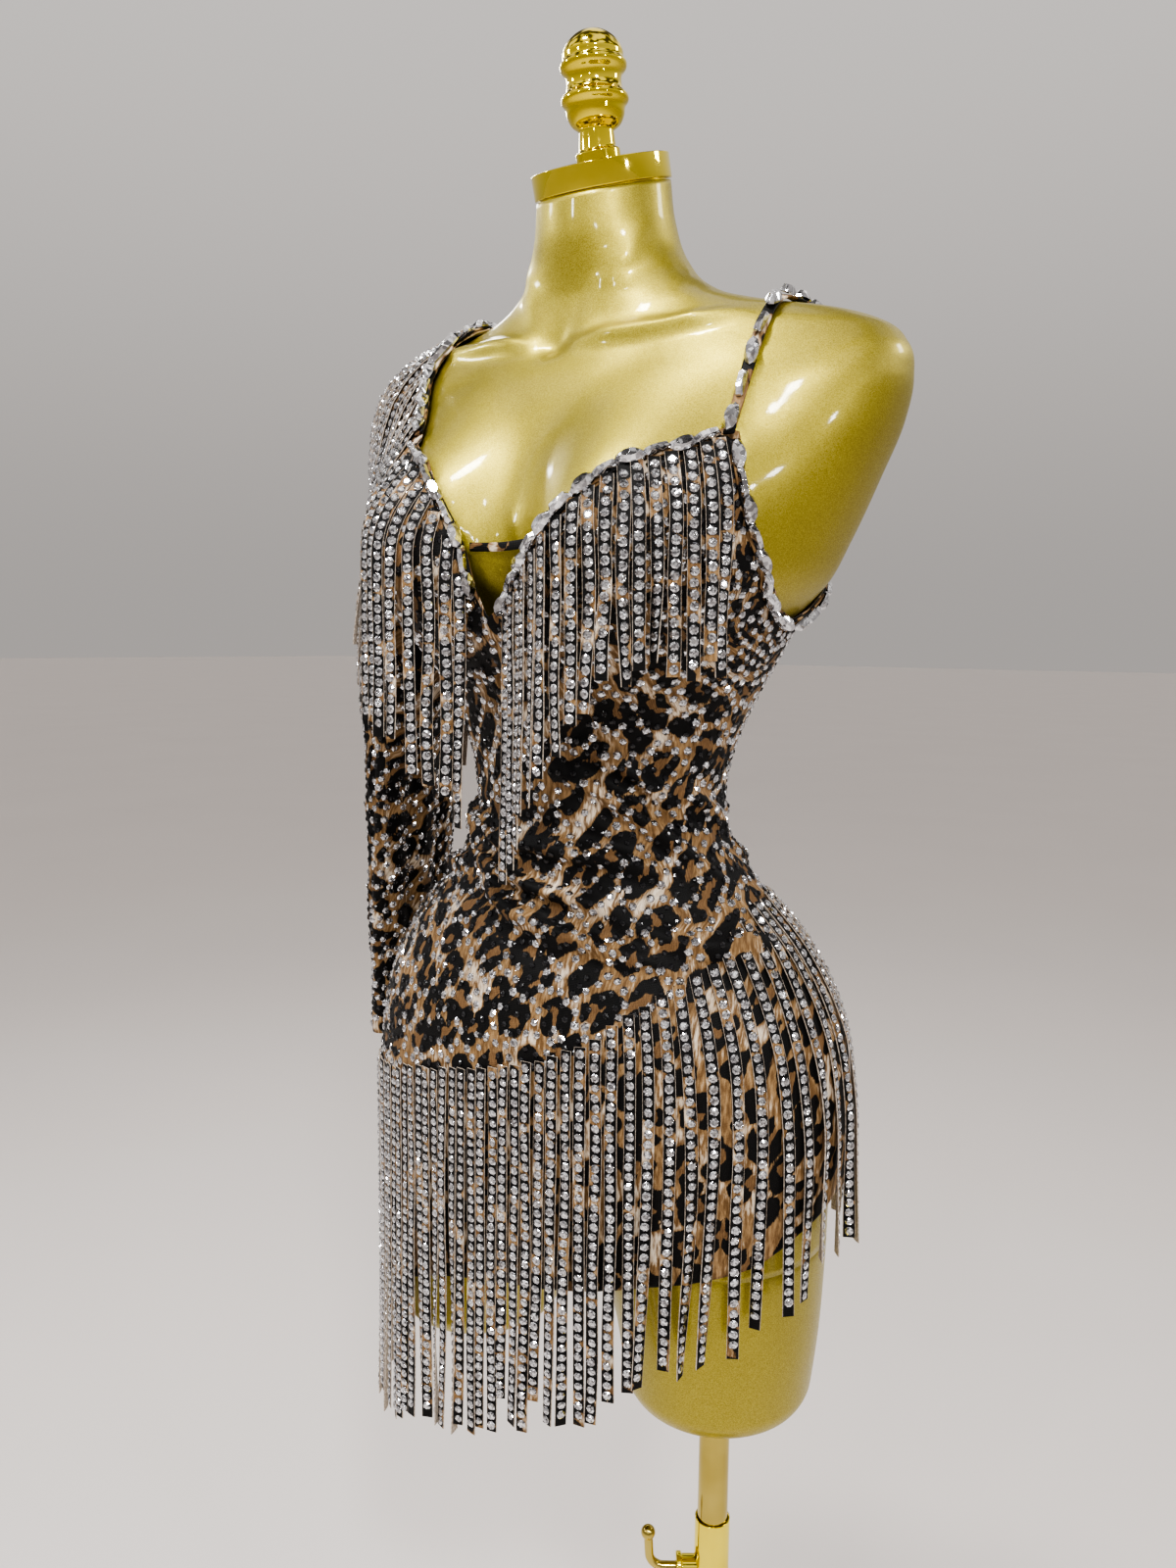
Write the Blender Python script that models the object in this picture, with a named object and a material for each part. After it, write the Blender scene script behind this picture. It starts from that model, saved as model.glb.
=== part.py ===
"""Fringed one-sleeve mini dress on a dress form with a telescopic stand. Metres, +Z up.

Origin: centre of the base's underside, on the axis of the pole. The form faces -Y; the wearer's left is +X.
The pole enters the left thigh stub, so the form's own centre line stands at x = FORM_X.
"""

import math

import bmesh
import bpy
import numpy as np

# ---------------------------------------------------------------- driving dimensions
FORM_X = -0.105  # the form's centre line, from the pole's axis
STUB_Z = 0.719  # underside of the thigh stubs
CROTCH_Z = 0.838
NECK_Z = 1.545  # middle of the neck's cut, before it slopes
NECK_SLOPE = 0.34  # rise of the neck's cut per metre towards the back
SHELL = 0.006  # thickness of the form's shell
GAP = 0.0003  # between touching pieces
CLOTH_GAP = 0.0012  # cloth to form
CLOTH = 0.0016  # thickness of the dress cloth
FRINGE_GAP = 0.0024  # dress cloth to fringe
UNDER = 0.0036  # how far the form stands back where the dress covers it
FRINGE = 0.0020  # thickness of a fringe curtain
BAND = 0.0070  # width of the edge binding
BAND_T = 0.0012  # thickness of the edge binding
CHEST_DROP = 0.155  # length of the chest fringe
CUFF_Z = 0.915
POLE_R, TUBE_R, TUBE_BORE = 0.011, 0.0125, 0.0113
TUBE_TOP, MAST_BOTTOM, MAST_TOP = 0.618, 0.350, 0.800
BASE_R, BASE_T = 0.170, 0.008
CLAMP_Z, CLAMP_DIRECTION = 0.578, 213.0  # height and compass direction of the clamp screw, degrees from +X

# The form's level sections, from the hips to the neck: half width, front and back reach, the depth of the
# widest point, and how square the section is (2 is an ellipse).
SECTION_COLUMNS = ("z", "half_width", "front", "back", "widest_y", "square")
SECTIONS = [
    (0.700, 0.174, -0.084, 0.090, 0.004, 2.70),
    (0.780, 0.1765, -0.088, 0.098, 0.004, 2.65),
    (0.830, 0.1795, -0.094, 0.110, 0.006, 2.45),
    (0.880, 0.1825, -0.098, 0.124, 0.008, 2.30),
    (0.940, 0.183, -0.101, 0.132, 0.010, 2.20),
    (0.990, 0.174, -0.098, 0.129, 0.010, 2.15),
    (1.040, 0.149, -0.084, 0.110, 0.009, 2.10),
    (1.080, 0.115, -0.073, 0.084, 0.006, 2.10),
    (1.120, 0.093, -0.067, 0.071, 0.002, 2.10),
    (1.150, 0.091, -0.067, 0.070, 0.002, 2.10),
    (1.190, 0.103, -0.074, 0.075, 0.003, 2.10),
    (1.230, 0.123, -0.084, 0.084, 0.005, 2.10),
    (1.262, 0.141, -0.091, 0.092, 0.008, 2.10),
    (1.285, 0.161, -0.094, 0.098, 0.012, 2.10),
    (1.310, 0.173, -0.095, 0.102, 0.016, 2.15),
    (1.350, 0.190, -0.090, 0.106, 0.020, 2.20),
    (1.385, 0.203, -0.079, 0.104, 0.026, 2.20),
    (1.410, 0.207, -0.067, 0.099, 0.028, 2.20),
    (1.430, 0.203, -0.054, 0.092, 0.030, 2.15),
    (1.443, 0.190, -0.046, 0.086, 0.030, 2.10),
    (1.452, 0.166, -0.042, 0.080, 0.028, 2.00),
    (1.460, 0.128, -0.040, 0.075, 0.024, 2.00),
    (1.469, 0.094, -0.039, 0.070, 0.018, 2.00),
    (1.481, 0.070, -0.040, 0.063, 0.012, 2.00),
    (1.496, 0.057, -0.042, 0.055, 0.006, 2.00),
    (1.520, 0.0485, -0.045, 0.047, 0.001, 2.00),
    (1.545, 0.0455, -0.0455, 0.0435, -0.001, 2.00),
]
# The thigh stubs, from the cut upwards.
THIGH_COLUMNS = ("z", "half_width", "half_depth", "centre_x", "centre_y")
THIGHS = [
    (0.726, 0.064, 0.066, 0.106, 0.000),
    (0.770, 0.070, 0.073, 0.104, 0.002),
    (0.820, 0.077, 0.083, 0.098, 0.005),
    (0.880, 0.082, 0.092, 0.092, 0.008),
    (0.920, 0.083, 0.094, 0.092, 0.008),
]
BUST = {"x": 0.078, "z": 1.292, "reach": 0.078, "height": 0.058}
SEAT = {"x": 0.075, "z": 0.945, "reach": 0.085, "height": 0.016}
CLEAVAGE_FILL = {"height": 0.020, "x": 0.034, "z": 1.246, "zr": 0.036}  # the cloth bridges the hollow

# Edges of the dress as angle round the form (0 is the wearer's left side, -90 the front, 90 the back) and height.
EDGE_COLUMNS = ("degrees", "z")
TOP_EDGE_FRONT = [  # from the right underarm over both cups to the left underarm
    (-180.0, 1.2615), (-169.5, 1.267), (-156.5, 1.283), (-146.0, 1.311), (-138.5, 1.338), (-132.0, 1.366),
    (-120.0, 1.370), (-112.0, 1.371), (-106.0, 1.357), (-101.5, 1.336), (-98.5, 1.318), (-96.5, 1.300),
    (-95.0, 1.280), (-92.5, 1.2595), (-89.5, 1.264), (-86.0, 1.277), (-82.0, 1.289), (-78.5, 1.299),
    (-71.5, 1.323), (-68.5, 1.335), (-64.0, 1.349), (-56.5, 1.359), (-51.0, 1.368), (-48.0, 1.366),
    (-41.5, 1.338), (-34.0, 1.311), (-23.5, 1.283), (-10.5, 1.267), (0.0, 1.2615),
]
TOP_EDGE_BACK = [  # from the left underarm across the back to the right underarm
    (0.0, 1.2615), (12.0, 1.268), (26.0, 1.284), (40.0, 1.302), (50.0, 1.309), (58.0, 1.303), (70.0, 1.287),
    (84.0, 1.275), (96.0, 1.278), (108.0, 1.296), (116.0, 1.322), (122.0, 1.352), (132.0, 1.360),
    (138.5, 1.338), (146.0, 1.311), (156.5, 1.283), (169.5, 1.267), (180.0, 1.2615),
]
HEM = [
    (-180.0, 0.752), (-131.5, 0.758), (-110.0, 0.785), (-83.5, 0.813), (-63.0, 0.832), (-50.0, 0.840),
    (-33.0, 0.851), (-18.0, 0.868), (0.0, 0.882), (30.0, 0.880), (60.0, 0.858), (90.0, 0.828),
    (120.0, 0.796), (150.0, 0.768), (180.0, 0.752),
]
HIP_LINE = [  # where the hip fringe is sewn on: a slanting line, high on the left
    (-180.0, 0.921), (-136.5, 0.928), (-114.5, 0.943), (-101.5, 0.954), (-91.5, 0.963), (-85.0, 0.971),
    (-72.5, 0.990), (-63.5, 1.008), (-50.0, 1.028), (-38.5, 1.040), (-27.5, 1.054), (-5.5, 1.071),
    (16.5, 1.074), (45.0, 1.064), (75.0, 1.036), (105.0, 0.998), (135.0, 0.958), (160.0, 0.932), (180.0, 0.921),
]
HIP_DROP = [  # length of the hip fringe, by angle
    (-180.0, 0.280), (-132.0, 0.278), (-100.0, 0.262), (-60.0, 0.250), (0.0, 0.248), (60.0, 0.250), (120.0, 0.268),
    (180.0, 0.280),
]
# The shoulder yoke's neck-side edge, over the right shoulder from front to back, and its lower edge, point by point.
SHOULDER_EDGE = [
    (-112.0, 1.3755), (-116.0, 1.400), (-121.0, 1.426), (-124.5, 1.447), (-136.0, 1.4595), (-158.0, 1.4665),
    (-180.0, 1.4680), (-202.0, 1.4665), (-222.0, 1.459), (-234.0, 1.440), (-237.0, 1.410), (-238.0, 1.380),
    (-238.0, 1.3575),
]
YOKE_LOW = [
    (-112.5, 1.3722), (-119.0, 1.3716), (-127.0, 1.3708), (-134.0, 1.3708), (-145.0, 1.379), (-162.0, 1.388),
    (-180.0, 1.3920), (-198.0, 1.3880), (-215.0, 1.379), (-226.0, 1.3668), (-230.0, 1.3655), (-234.5, 1.3610),
    (-237.5, 1.3560),
]
YOKE_LEVELS = [1.0, 0.960, 0.910, 0.845, 0.755, 0.635, 0.470, 0.250, 0.0]
ARM_FIRST, ARM_LAST = 3, 9  # the part of the yoke's lower edge that the sleeve hangs from
FRONT_LEVELS = [0.800, 0.840, 0.880, 0.912, 0.942, 0.970, 0.998, 1.025, 1.051, 1.076, 1.100, 1.123, 1.147, 1.172,
                1.195, 1.215, 1.232, 1.247, 1.261, 1.276, 1.292, 1.311, 1.336, 1.371]
BACK_LEVELS = [0.800, 0.842, 0.882, 0.915, 0.945, 0.975, 1.005, 1.035, 1.065, 1.093, 1.120, 1.150, 1.182, 1.215,
               1.250, 1.288, 1.328, 1.371]
FIXED_LEVELS = (1.000, 1.215)  # between these a panel's rows run level
# The sleeve's lower half: centre, half sizes and height of its level sections.
SLEEVE_COLUMNS = ("z", "centre_x", "centre_y", "half_x", "half_y")
SLEEVE = [
    (1.250, -0.186, 0.016, 0.0270, 0.0580),
    (1.180, -0.189, 0.018, 0.0215, 0.0520),
    (1.100, -0.196, 0.022, 0.0185, 0.0475),
    (1.020, -0.210, 0.032, 0.0170, 0.0445),
    (0.960, -0.218, 0.040, 0.0160, 0.0420),
    (CUFF_Z, -0.220, 0.043, 0.0155, 0.0400),
]
FINIAL_LEAN = math.radians(7.0)  # the finial leans forward less than the cap does
FOOT_RING = 0.0080  # height of the finial's foot ring
# Finial on the neck cap: height above the cap, radius.
FINIAL = [
    (0.0000, 0.0150), (0.0080, 0.0150), (0.0091, 0.0125), (0.0198, 0.0115), (0.0212, 0.0128), (0.0241, 0.0165),
    (0.0288, 0.0190), (0.0340, 0.0200), (0.0382, 0.0225), (0.0401, 0.0222), (0.0430, 0.0196), (0.0477, 0.0182),
    (0.0529, 0.0186), (0.0576, 0.0220), (0.0595, 0.0222), (0.0619, 0.0205), (0.0666, 0.0200), (0.0718, 0.0176),
    (0.0760, 0.0136), (0.0791, 0.0085), (0.0806, 0.0030),
]

# ---------------------------------------------------------------- scene and materials
for item in list(bpy.data.objects):
    bpy.data.objects.remove(item, do_unlink=True)

MATERIALS = {
    "gold_paint": ((0.50, 0.40, 0.12), 0.28, 0.75),
    "gold_chrome": ((0.86, 0.70, 0.22), 0.08, 1.0),
    "leopard_knit": ((0.36, 0.24, 0.14), 0.75, 0.0),
    "crystal_fringe": ((0.62, 0.60, 0.58), 0.35, 0.0),
    "steel_tube": ((0.78, 0.72, 0.50), 0.15, 1.0),
}


def material(name):
    found = bpy.data.materials.get(name)
    if found is None:
        colour, rough, metal = MATERIALS[name]
        found = bpy.data.materials.new(name)
        found.use_nodes = True
        shader = found.node_tree.nodes["Principled BSDF"]
        shader.inputs["Base Color"].default_value = (*colour, 1.0)
        shader.inputs["Roughness"].default_value = rough
        shader.inputs["Metallic"].default_value = metal
    return found


def solid(name, points, faces, finish, smooth=True):
    mesh = bpy.data.meshes.new(name)
    mesh.from_pydata([tuple(map(float, p)) for p in points], [], [tuple(map(int, f)) for f in faces])
    work = bmesh.new()
    work.from_mesh(mesh)
    bmesh.ops.recalc_face_normals(work, faces=work.faces)
    work.to_mesh(mesh)
    work.free()
    if smooth:
        mesh.shade_smooth()
        mesh.set_sharp_from_angle(angle=math.radians(40))
    mesh.materials.append(material(finish))
    made = bpy.data.objects.new(name, mesh)
    bpy.context.scene.collection.objects.link(made)
    return made


def loft(name, rings, finish):
    """A closed solid through rings of the same number of points, with flat ends."""
    rings = np.asarray(rings, float)
    count, around = rings.shape[:2]
    faces = [
        (i * around + j, i * around + (j + 1) % around, (i + 1) * around + (j + 1) % around, (i + 1) * around + j)
        for i in range(count - 1)
        for j in range(around)
    ]
    faces.append(tuple(range(around))[::-1])
    faces.append(tuple((count - 1) * around + j for j in range(around)))
    return solid(name, rings.reshape(-1, 3), faces, finish)


def wall(name, outer, inner, finish, closed=False):
    """A wall of cloth between two grids of the same shape; closed joins the first and last columns into a tube."""
    outer, inner = np.asarray(outer, float), np.asarray(inner, float)
    across, along = outer.shape[:2]
    shift = across * along

    def at(i, j, layer):
        return (i % across) * along + j + layer * shift

    faces = []
    spans = across if closed else across - 1
    for i in range(spans):
        for j in range(along - 1):
            faces.append((at(i, j, 0), at(i + 1, j, 0), at(i + 1, j + 1, 0), at(i, j + 1, 0)))
            faces.append((at(i, j, 1), at(i, j + 1, 1), at(i + 1, j + 1, 1), at(i + 1, j, 1)))
        for j in (0, along - 1):
            faces.append((at(i, j, 0), at(i + 1, j, 0), at(i + 1, j, 1), at(i, j, 1)))
    if not closed:
        for i in (0, across - 1):
            for j in range(along - 1):
                faces.append((at(i, j, 0), at(i, j + 1, 0), at(i, j + 1, 1), at(i, j, 1)))
    return solid(name, np.concatenate([outer.reshape(-1, 3), inner.reshape(-1, 3)]), faces, finish)


def boolean(target, other, operation):
    """Joins or cuts target with other, which is then removed."""
    modifier = target.modifiers.new(operation.lower(), "BOOLEAN")
    modifier.operation, modifier.solver, modifier.object = operation, "EXACT", other
    graph = bpy.context.evaluated_depsgraph_get()
    mesh = bpy.data.meshes.new_from_object(target.evaluated_get(graph))
    target.modifiers.clear()
    target.data = mesh
    bpy.data.objects.remove(other, do_unlink=True)
    return target


# ---------------------------------------------------------------- the form's surface
def along(rows, column, at):
    """A smooth curve through one column of a table, at the given heights or angles."""
    table = np.array(rows, float)
    if table[0, 0] > table[-1, 0]:
        table = table[::-1]
    x, y = table[:, 0], table[:, column]
    slope = np.empty_like(y)
    step = np.diff(x)
    rise = np.diff(y) / step
    slope[1:-1] = (rise[:-1] * step[1:] + rise[1:] * step[:-1]) / (x[2:] - x[:-2])
    slope[0], slope[-1] = rise[0], rise[-1]
    at = np.clip(at, x[0], x[-1])
    i = np.clip(np.searchsorted(x, at, side="right") - 1, 0, len(x) - 2)
    h = step[i]
    t = (at - x[i]) / h
    return (
        (2 * t**3 - 3 * t**2 + 1) * y[i]
        + (t**3 - 2 * t**2 + t) * h * slope[i]
        + (3 * t**2 - 2 * t**3) * y[i + 1]
        + (t**3 - t**2) * h * slope[i + 1]
    )


def straight(rows, column, at):
    table = np.array(rows, float)
    if table[0, 0] > table[-1, 0]:
        table = table[::-1]
    return np.interp(at, table[:, 0], table[:, column])


def pointed(rows, index):
    """The point of a line at a fractional index."""
    table = np.array(rows, float)
    return np.array([np.interp(index, range(len(table)), table[:, k]) for k in range(table.shape[1])])


def raised(distance):
    """A round rise: 1 at its middle and 0 from a distance of 1 on."""
    return 0.5 + 0.5 * np.cos(np.pi * np.clip(distance, 0, 1))


def surface(angle, z):
    """A point of the form's surface at an angle in radians and a height."""
    angle, z = np.broadcast_arrays(np.asarray(angle, float), np.asarray(z, float))
    half, front, back, widest, square = (along(SECTIONS, k, z) for k in range(1, 6))
    c, s = np.cos(angle), np.sin(angle)
    x = half * np.sign(c) * np.abs(c) ** (2 / square)
    y = widest + np.where(s < 0, widest - front, back - widest) * np.sign(s) * np.abs(s) ** (2 / square)
    for side in (-1, 1):
        high = (z - BUST["z"]) * np.where(z > BUST["z"], 0.8, 1.12)
        d = np.hypot(x - side * BUST["x"], high) / BUST["reach"]
        y = y - BUST["height"] * np.sqrt(np.clip(-s, 0, 1)) * raised(d / 1.35)
        d = np.hypot(x - side * SEAT["x"], z - SEAT["z"]) / SEAT["reach"]
        y = y + SEAT["height"] * np.sqrt(np.clip(s, 0, 1)) * raised(d / 1.3)
    share = np.clip((z - 1.46) / (NECK_Z - 1.46), 0, 1)
    share = share * share * (3 - 2 * share)
    return np.stack([x + FORM_X, y, z + share * NECK_SLOPE * (y - widest)], -1)


def body(angle, z, out=0.0):
    """The same, moved out along the surface's own normal."""
    angle, z = np.broadcast_arrays(np.asarray(angle, float), np.asarray(z, float))
    here = surface(angle, z)
    normal = np.cross(
        surface(angle + 0.004, z) - surface(angle - 0.004, z), surface(angle, z + 0.001) - surface(angle, z - 0.001)
    )
    normal /= np.maximum(np.linalg.norm(normal, axis=-1, keepdims=True), 1e-12)
    return here + normal * np.asarray(out, float)[..., None]


def covered(angle, z):
    """1 where the dress lies over the form, fading to 0 at the dress's upper edge."""
    degrees = (np.degrees(angle) + 180.0) % 360.0 - 180.0
    top = np.where(degrees <= 0, straight(TOP_EDGE_FRONT, 1, degrees), straight(TOP_EDGE_BACK, 1, degrees))
    wrapped = np.where(degrees > 90, degrees - 360.0, degrees)
    over = (wrapped <= -112.0) & (wrapped >= -238.0)
    top = np.where(over, straight(SHOULDER_EDGE, 1, wrapped), top)
    share = np.clip((top - z) / 0.015, 0, 1)
    return share * share * (3 - 2 * share)


def dress(angle, z, out):
    """The dress's surface: the form's, with the hollow between the cups bridged."""
    p = body(angle, z, out)
    x = p[..., 0] - FORM_X
    fill = CLEAVAGE_FILL["height"] * np.exp(
        -((x / CLEAVAGE_FILL["x"]) ** 2) - ((p[..., 2] - CLEAVAGE_FILL["z"]) / CLEAVAGE_FILL["zr"]) ** 2
    )
    p[..., 1] -= fill * np.clip(-np.sin(angle), 0, 1)
    return p


def thigh_at(angle, z, side, inset=0.0):
    half, depth, cx, cy = (along(THIGHS, k, z) for k in range(1, 5))
    return np.stack(
        [
            FORM_X + side * cx + (half - inset) * np.cos(angle),
            cy + (depth - inset) * np.sin(angle),
            np.broadcast_to(z, np.shape(angle)) + 0.0 * angle,
        ],
        -1,
    )


def hips(angle, z, inset=0.0):
    """The form's section near the crotch, where an oval turns into two thighs with a web between them."""
    oval = body(angle, z, -inset)
    half, depth, cx, cy = (float(along(THIGHS, k, z)) for k in range(1, 5))
    half, depth = half - inset, depth - inset
    ux, uy = np.abs(np.cos(angle)), np.sin(angle)
    qa = (ux / half) ** 2 + (uy / depth) ** 2
    qb = -2 * ux * cx / half**2
    qc = (cx / half) ** 2 - 1
    root = qb * qb - 4 * qa * qc
    thigh = np.where(root > 0, (-qb + np.sqrt(np.maximum(root, 0))) / (2 * qa), 0)
    web = 0.030 + 0.065 * np.clip((z - CROTCH_Z) / 0.05, 0, 1) - min(inset, 0.010)
    centre = 1 / np.sqrt((ux / cx) ** 2 + (uy / web) ** 2)
    reach = np.maximum(thigh, centre)
    two = np.stack([FORM_X + reach * np.cos(angle), cy + reach * uy, np.full_like(angle, z)], -1)
    share = np.clip((0.905 - z) / 0.045, 0, 1)
    share = share * share * (3 - 2 * share)
    return oval * (1 - share) + two * share


# ---------------------------------------------------------------- dress form
AROUND = 40
turn = np.linspace(0, 2 * math.pi, AROUND, endpoint=False)
form_levels = [CROTCH_Z, 0.848, 0.858, 0.870, 0.886, 0.905, 0.928, 0.952, 0.976, 1.000, 1.024, 1.048, 1.070, 1.092,
               1.113, 1.134, 1.156, 1.178, 1.200, 1.220, 1.237, 1.252, 1.266, 1.280, 1.294, 1.309, 1.326, 1.344,
               1.362, 1.380, 1.396, 1.411, 1.424, 1.435, 1.444, 1.452, 1.460, 1.469, 1.481, 1.496, 1.520, NECK_Z]
form = loft(
    "form",
    [hips(turn, z, UNDER if z > 0.88 else 0.0) if z < 0.91 else body(turn, z, -UNDER * covered(turn, z)) for z in form_levels],
    "gold_paint",
)

STUB_EDGE = [(0.000, 0.84), (0.0015, 0.91), (0.005, 0.965), (0.011, 0.992), (0.018, 1.0)]  # rounded edge of a stub


def stub(side):
    small = np.linspace(0, 2 * math.pi, 28, endpoint=False)
    middle = thigh_at(small, STUB_Z, side).mean(axis=0)
    rings = []
    for rise, share in STUB_EDGE:
        ring = thigh_at(small, STUB_Z + rise, side, 0.0004)
        rings.append(np.concatenate([middle[:2] + (ring[:, :2] - middle[:2]) * share, ring[:, 2:]], axis=1))
    for z in (0.765, 0.790, 0.815, CROTCH_Z):
        rings.append(thigh_at(small, z, side, 0.0004))
    for z, inset in ((0.846, 0.006), (0.870, 0.022)):
        rings.append(thigh_at(small, z, side, inset))
    return loft("stub", rings, "gold_paint")


for side in (-1, 1):
    boolean(form, stub(side), "UNION")
# The shell is hollow, open at the neck under the cap; the left stub keeps a solid block round the pole's socket.
bare = np.linspace(0, 2 * math.pi, 24, endpoint=False)
hollow_levels = [0.858, 0.885, 0.912, 0.945, 0.985, 1.025, 1.060, 1.095, 1.130, 1.165, 1.200, 1.232, 1.258, 1.282,
                 1.306, 1.335, 1.365, 1.392, 1.412, 1.428, 1.440, 1.450, 1.462, 1.478, 1.500, 1.530]
hollow = loft(
    "hollow",
    [hips(bare, z, SHELL + UNDER) if z < 0.91 else body(bare, z, -SHELL - UNDER * covered(bare, z)) for z in hollow_levels]
    + [body(bare, NECK_Z, -SHELL) + np.array([0, 0, 0.006])],
    "gold_paint",
)
for side, low in ((-1, 0.735), (1, 0.826)):
    levels = [low, 0.5 * (low + 0.862), 0.862, 0.890]
    leg = loft("leg", [thigh_at(bare, z, side, SHELL + (0.0 if z < 0.87 else 0.012)) for z in levels], "gold_paint")
    boolean(hollow, leg, "UNION")
boolean(form, hollow, "DIFFERENCE")


def turned(name, profile, finish, around=32):
    """A solid of revolution about Z, from (radius, z) pairs up its outside; a bore is a second list."""
    ring = np.linspace(0, 2 * math.pi, around, endpoint=False)
    return loft(name, [np.stack([r * np.cos(ring), r * np.sin(ring), np.full(around, z)], -1) for r, z in profile], finish)


def tube(name, radius, bore, low, high, finish, around=32):
    ring = np.linspace(0, 2 * math.pi, around, endpoint=False)
    levels = np.linspace(low, high, 2)
    outer, inner = (
        np.stack([np.stack([r * np.cos(ring), r * np.sin(ring), np.full(around, z)], -1) for z in levels], axis=1)
        for r in (radius, bore)
    )
    return wall(name, outer, inner, finish, closed=True)


boolean(form, turned("socket", [(POLE_R + 0.0004, STUB_Z - 0.02), (POLE_R + 0.0004, MAST_TOP + 0.002)], "gold_paint"), "DIFFERENCE")

# ---------------------------------------------------------------- neck cap and finial, square to the neck's sloping cut
slope = math.atan(NECK_SLOPE)
CAP_CENTRE = np.array([FORM_X, -0.001, NECK_Z])
CAP_R, CAP_T = 0.0468, 0.0165


def tilted(made, lift):
    """Stands a piece turned about Z on the neck's cut."""
    made.rotation_euler = (slope, 0, 0)
    normal = np.array([0, -math.sin(slope), math.cos(slope)])
    made.location = CAP_CENTRE + normal * lift
    return made


tilted(turned("neck_cap", [(CAP_R - 0.0008, 0), (CAP_R, 0.0008), (CAP_R, CAP_T - 0.001), (CAP_R - 0.001, CAP_T)], "gold_chrome", 40), GAP)


def finial():
    """The foot ring stands square to the cap; the rest stands more upright."""
    foot = CAP_CENTRE + np.array([0, -math.sin(slope), math.cos(slope)]) * (CAP_T + 2 * GAP)
    ring = np.linspace(0, 2 * math.pi, 28, endpoint=False)
    rings = []
    for height, radius in FINIAL:
        share = min(1.0, max(0.0, (height - FOOT_RING) / 0.010))
        lean = slope + (FINIAL_LEAN - slope) * share
        low = min(height, FOOT_RING)
        centre = foot + np.array([0, -math.sin(slope), math.cos(slope)]) * low
        centre = centre + np.array([0, -math.sin(FINIAL_LEAN), math.cos(FINIAL_LEAN)]) * (height - low)
        across_it = np.array([0, math.cos(lean), math.sin(lean)])
        rings.append(centre + radius * (np.cos(ring)[:, None] * np.array([1.0, 0, 0]) + np.sin(ring)[:, None] * across_it))
    return loft("finial", rings, "gold_chrome")


finial()

# ---------------------------------------------------------------- stand
hub = [(BASE_R, 0.000), (BASE_R, BASE_T * 0.6), (BASE_R - 0.003, BASE_T * 0.9), (BASE_R - 0.008, BASE_T),
       (0.034, BASE_T + 0.001), (0.0225, BASE_T + 0.005), (0.0195, BASE_T + 0.012), (0.0195, BASE_T + 0.034)]
base = turned("base", hub, "gold_chrome", 56)
boolean(base, turned("seat", [(TUBE_R + GAP, 0.006), (TUBE_R + GAP, 0.08)], "gold_chrome"), "DIFFERENCE")
outer_pole = tube("outer_pole", TUBE_R, TUBE_BORE, 0.006 + GAP, TUBE_TOP, "gold_chrome")
tube("inner_pole", POLE_R, POLE_R - 0.0012, MAST_BOTTOM, MAST_TOP, "steel_tube")

# Clamp: a threaded boss on the outer pole and a screw with a bent handle that ends in a ball.
clamp = bpy.data.objects.new("clamp", None)
bpy.context.scene.collection.objects.link(clamp)
clamp.location = (0, 0, CLAMP_Z)
clamp.rotation_euler = (0, 0, math.radians(CLAMP_DIRECTION))
SCREW_R = 0.0034


def across(name, profile, finish, around=24):
    """A solid turned about the clamp's own axis, from (radius, distance from the pole's axis) pairs."""
    ring = np.linspace(0, 2 * math.pi, around, endpoint=False)
    made = loft(name, [np.stack([np.full(around, d), r * np.cos(ring), r * np.sin(ring)], -1) for r, d in profile], finish)
    made.parent = clamp
    return made


boss = across("clamp_boss", [(0.0080, 0.0080), (0.0080, 0.0215), (0.0095, 0.0220), (0.0095, 0.0250), (0.0088, 0.0258)], "gold_chrome")
across("boss_bore", [(SCREW_R + GAP, 0.000), (SCREW_R + GAP, 0.040)], "gold_chrome")
across("boss_seat", [(0.0090, 0.000), (0.0090, 0.0010)], "gold_chrome")
bpy.context.view_layer.update()
boolean(boss, bpy.data.objects["boss_bore"], "DIFFERENCE")
bpy.data.objects.remove(bpy.data.objects["boss_seat"], do_unlink=True)
boolean(boss, turned("pole_space", [(TUBE_R + GAP, CLAMP_Z - 0.03), (TUBE_R + GAP, CLAMP_Z + 0.03)], "gold_chrome", 32), "DIFFERENCE")
pole_hole = across("pole_hole", [(SCREW_R + GAP, 0.004), (SCREW_R + GAP, 0.020)], "gold_chrome")
bpy.context.view_layer.update()
boolean(outer_pole, pole_hole, "DIFFERENCE")

# The handle's middle line in the clamp's own frame: distance from the pole, height.
HANDLE = [(0.0113, 0.0), (0.034, 0.0), (0.0385, 0.0008), (0.0420, 0.0030), (0.0442, 0.0062), (0.0452, 0.0100), (0.0460, 0.0235)]


def handle():
    ring = np.linspace(0, 2 * math.pi, 16, endpoint=False)
    line = np.array(HANDLE)
    heading = np.gradient(line, axis=0)
    heading /= np.linalg.norm(heading, axis=1)[:, None]
    rings = []
    for (d, h), (td, th) in zip(line, heading):
        rings.append(np.stack([d - SCREW_R * np.sin(ring) * th, SCREW_R * np.cos(ring), h + SCREW_R * np.sin(ring) * td], -1))
    made = loft("clamp_screw", rings, "gold_chrome")
    made.parent = clamp
    ball = bmesh.new()
    bmesh.ops.create_uvsphere(ball, u_segments=16, v_segments=12, radius=0.0052)
    mesh = bpy.data.meshes.new("ball")
    ball.to_mesh(mesh)
    ball.free()
    knob = bpy.data.objects.new("ball", mesh)
    bpy.context.scene.collection.objects.link(knob)
    knob.parent = clamp
    knob.location = (0.0462, 0, 0.0265)
    bpy.context.view_layer.update()
    return boolean(made, knob, "UNION")


handle()

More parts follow.
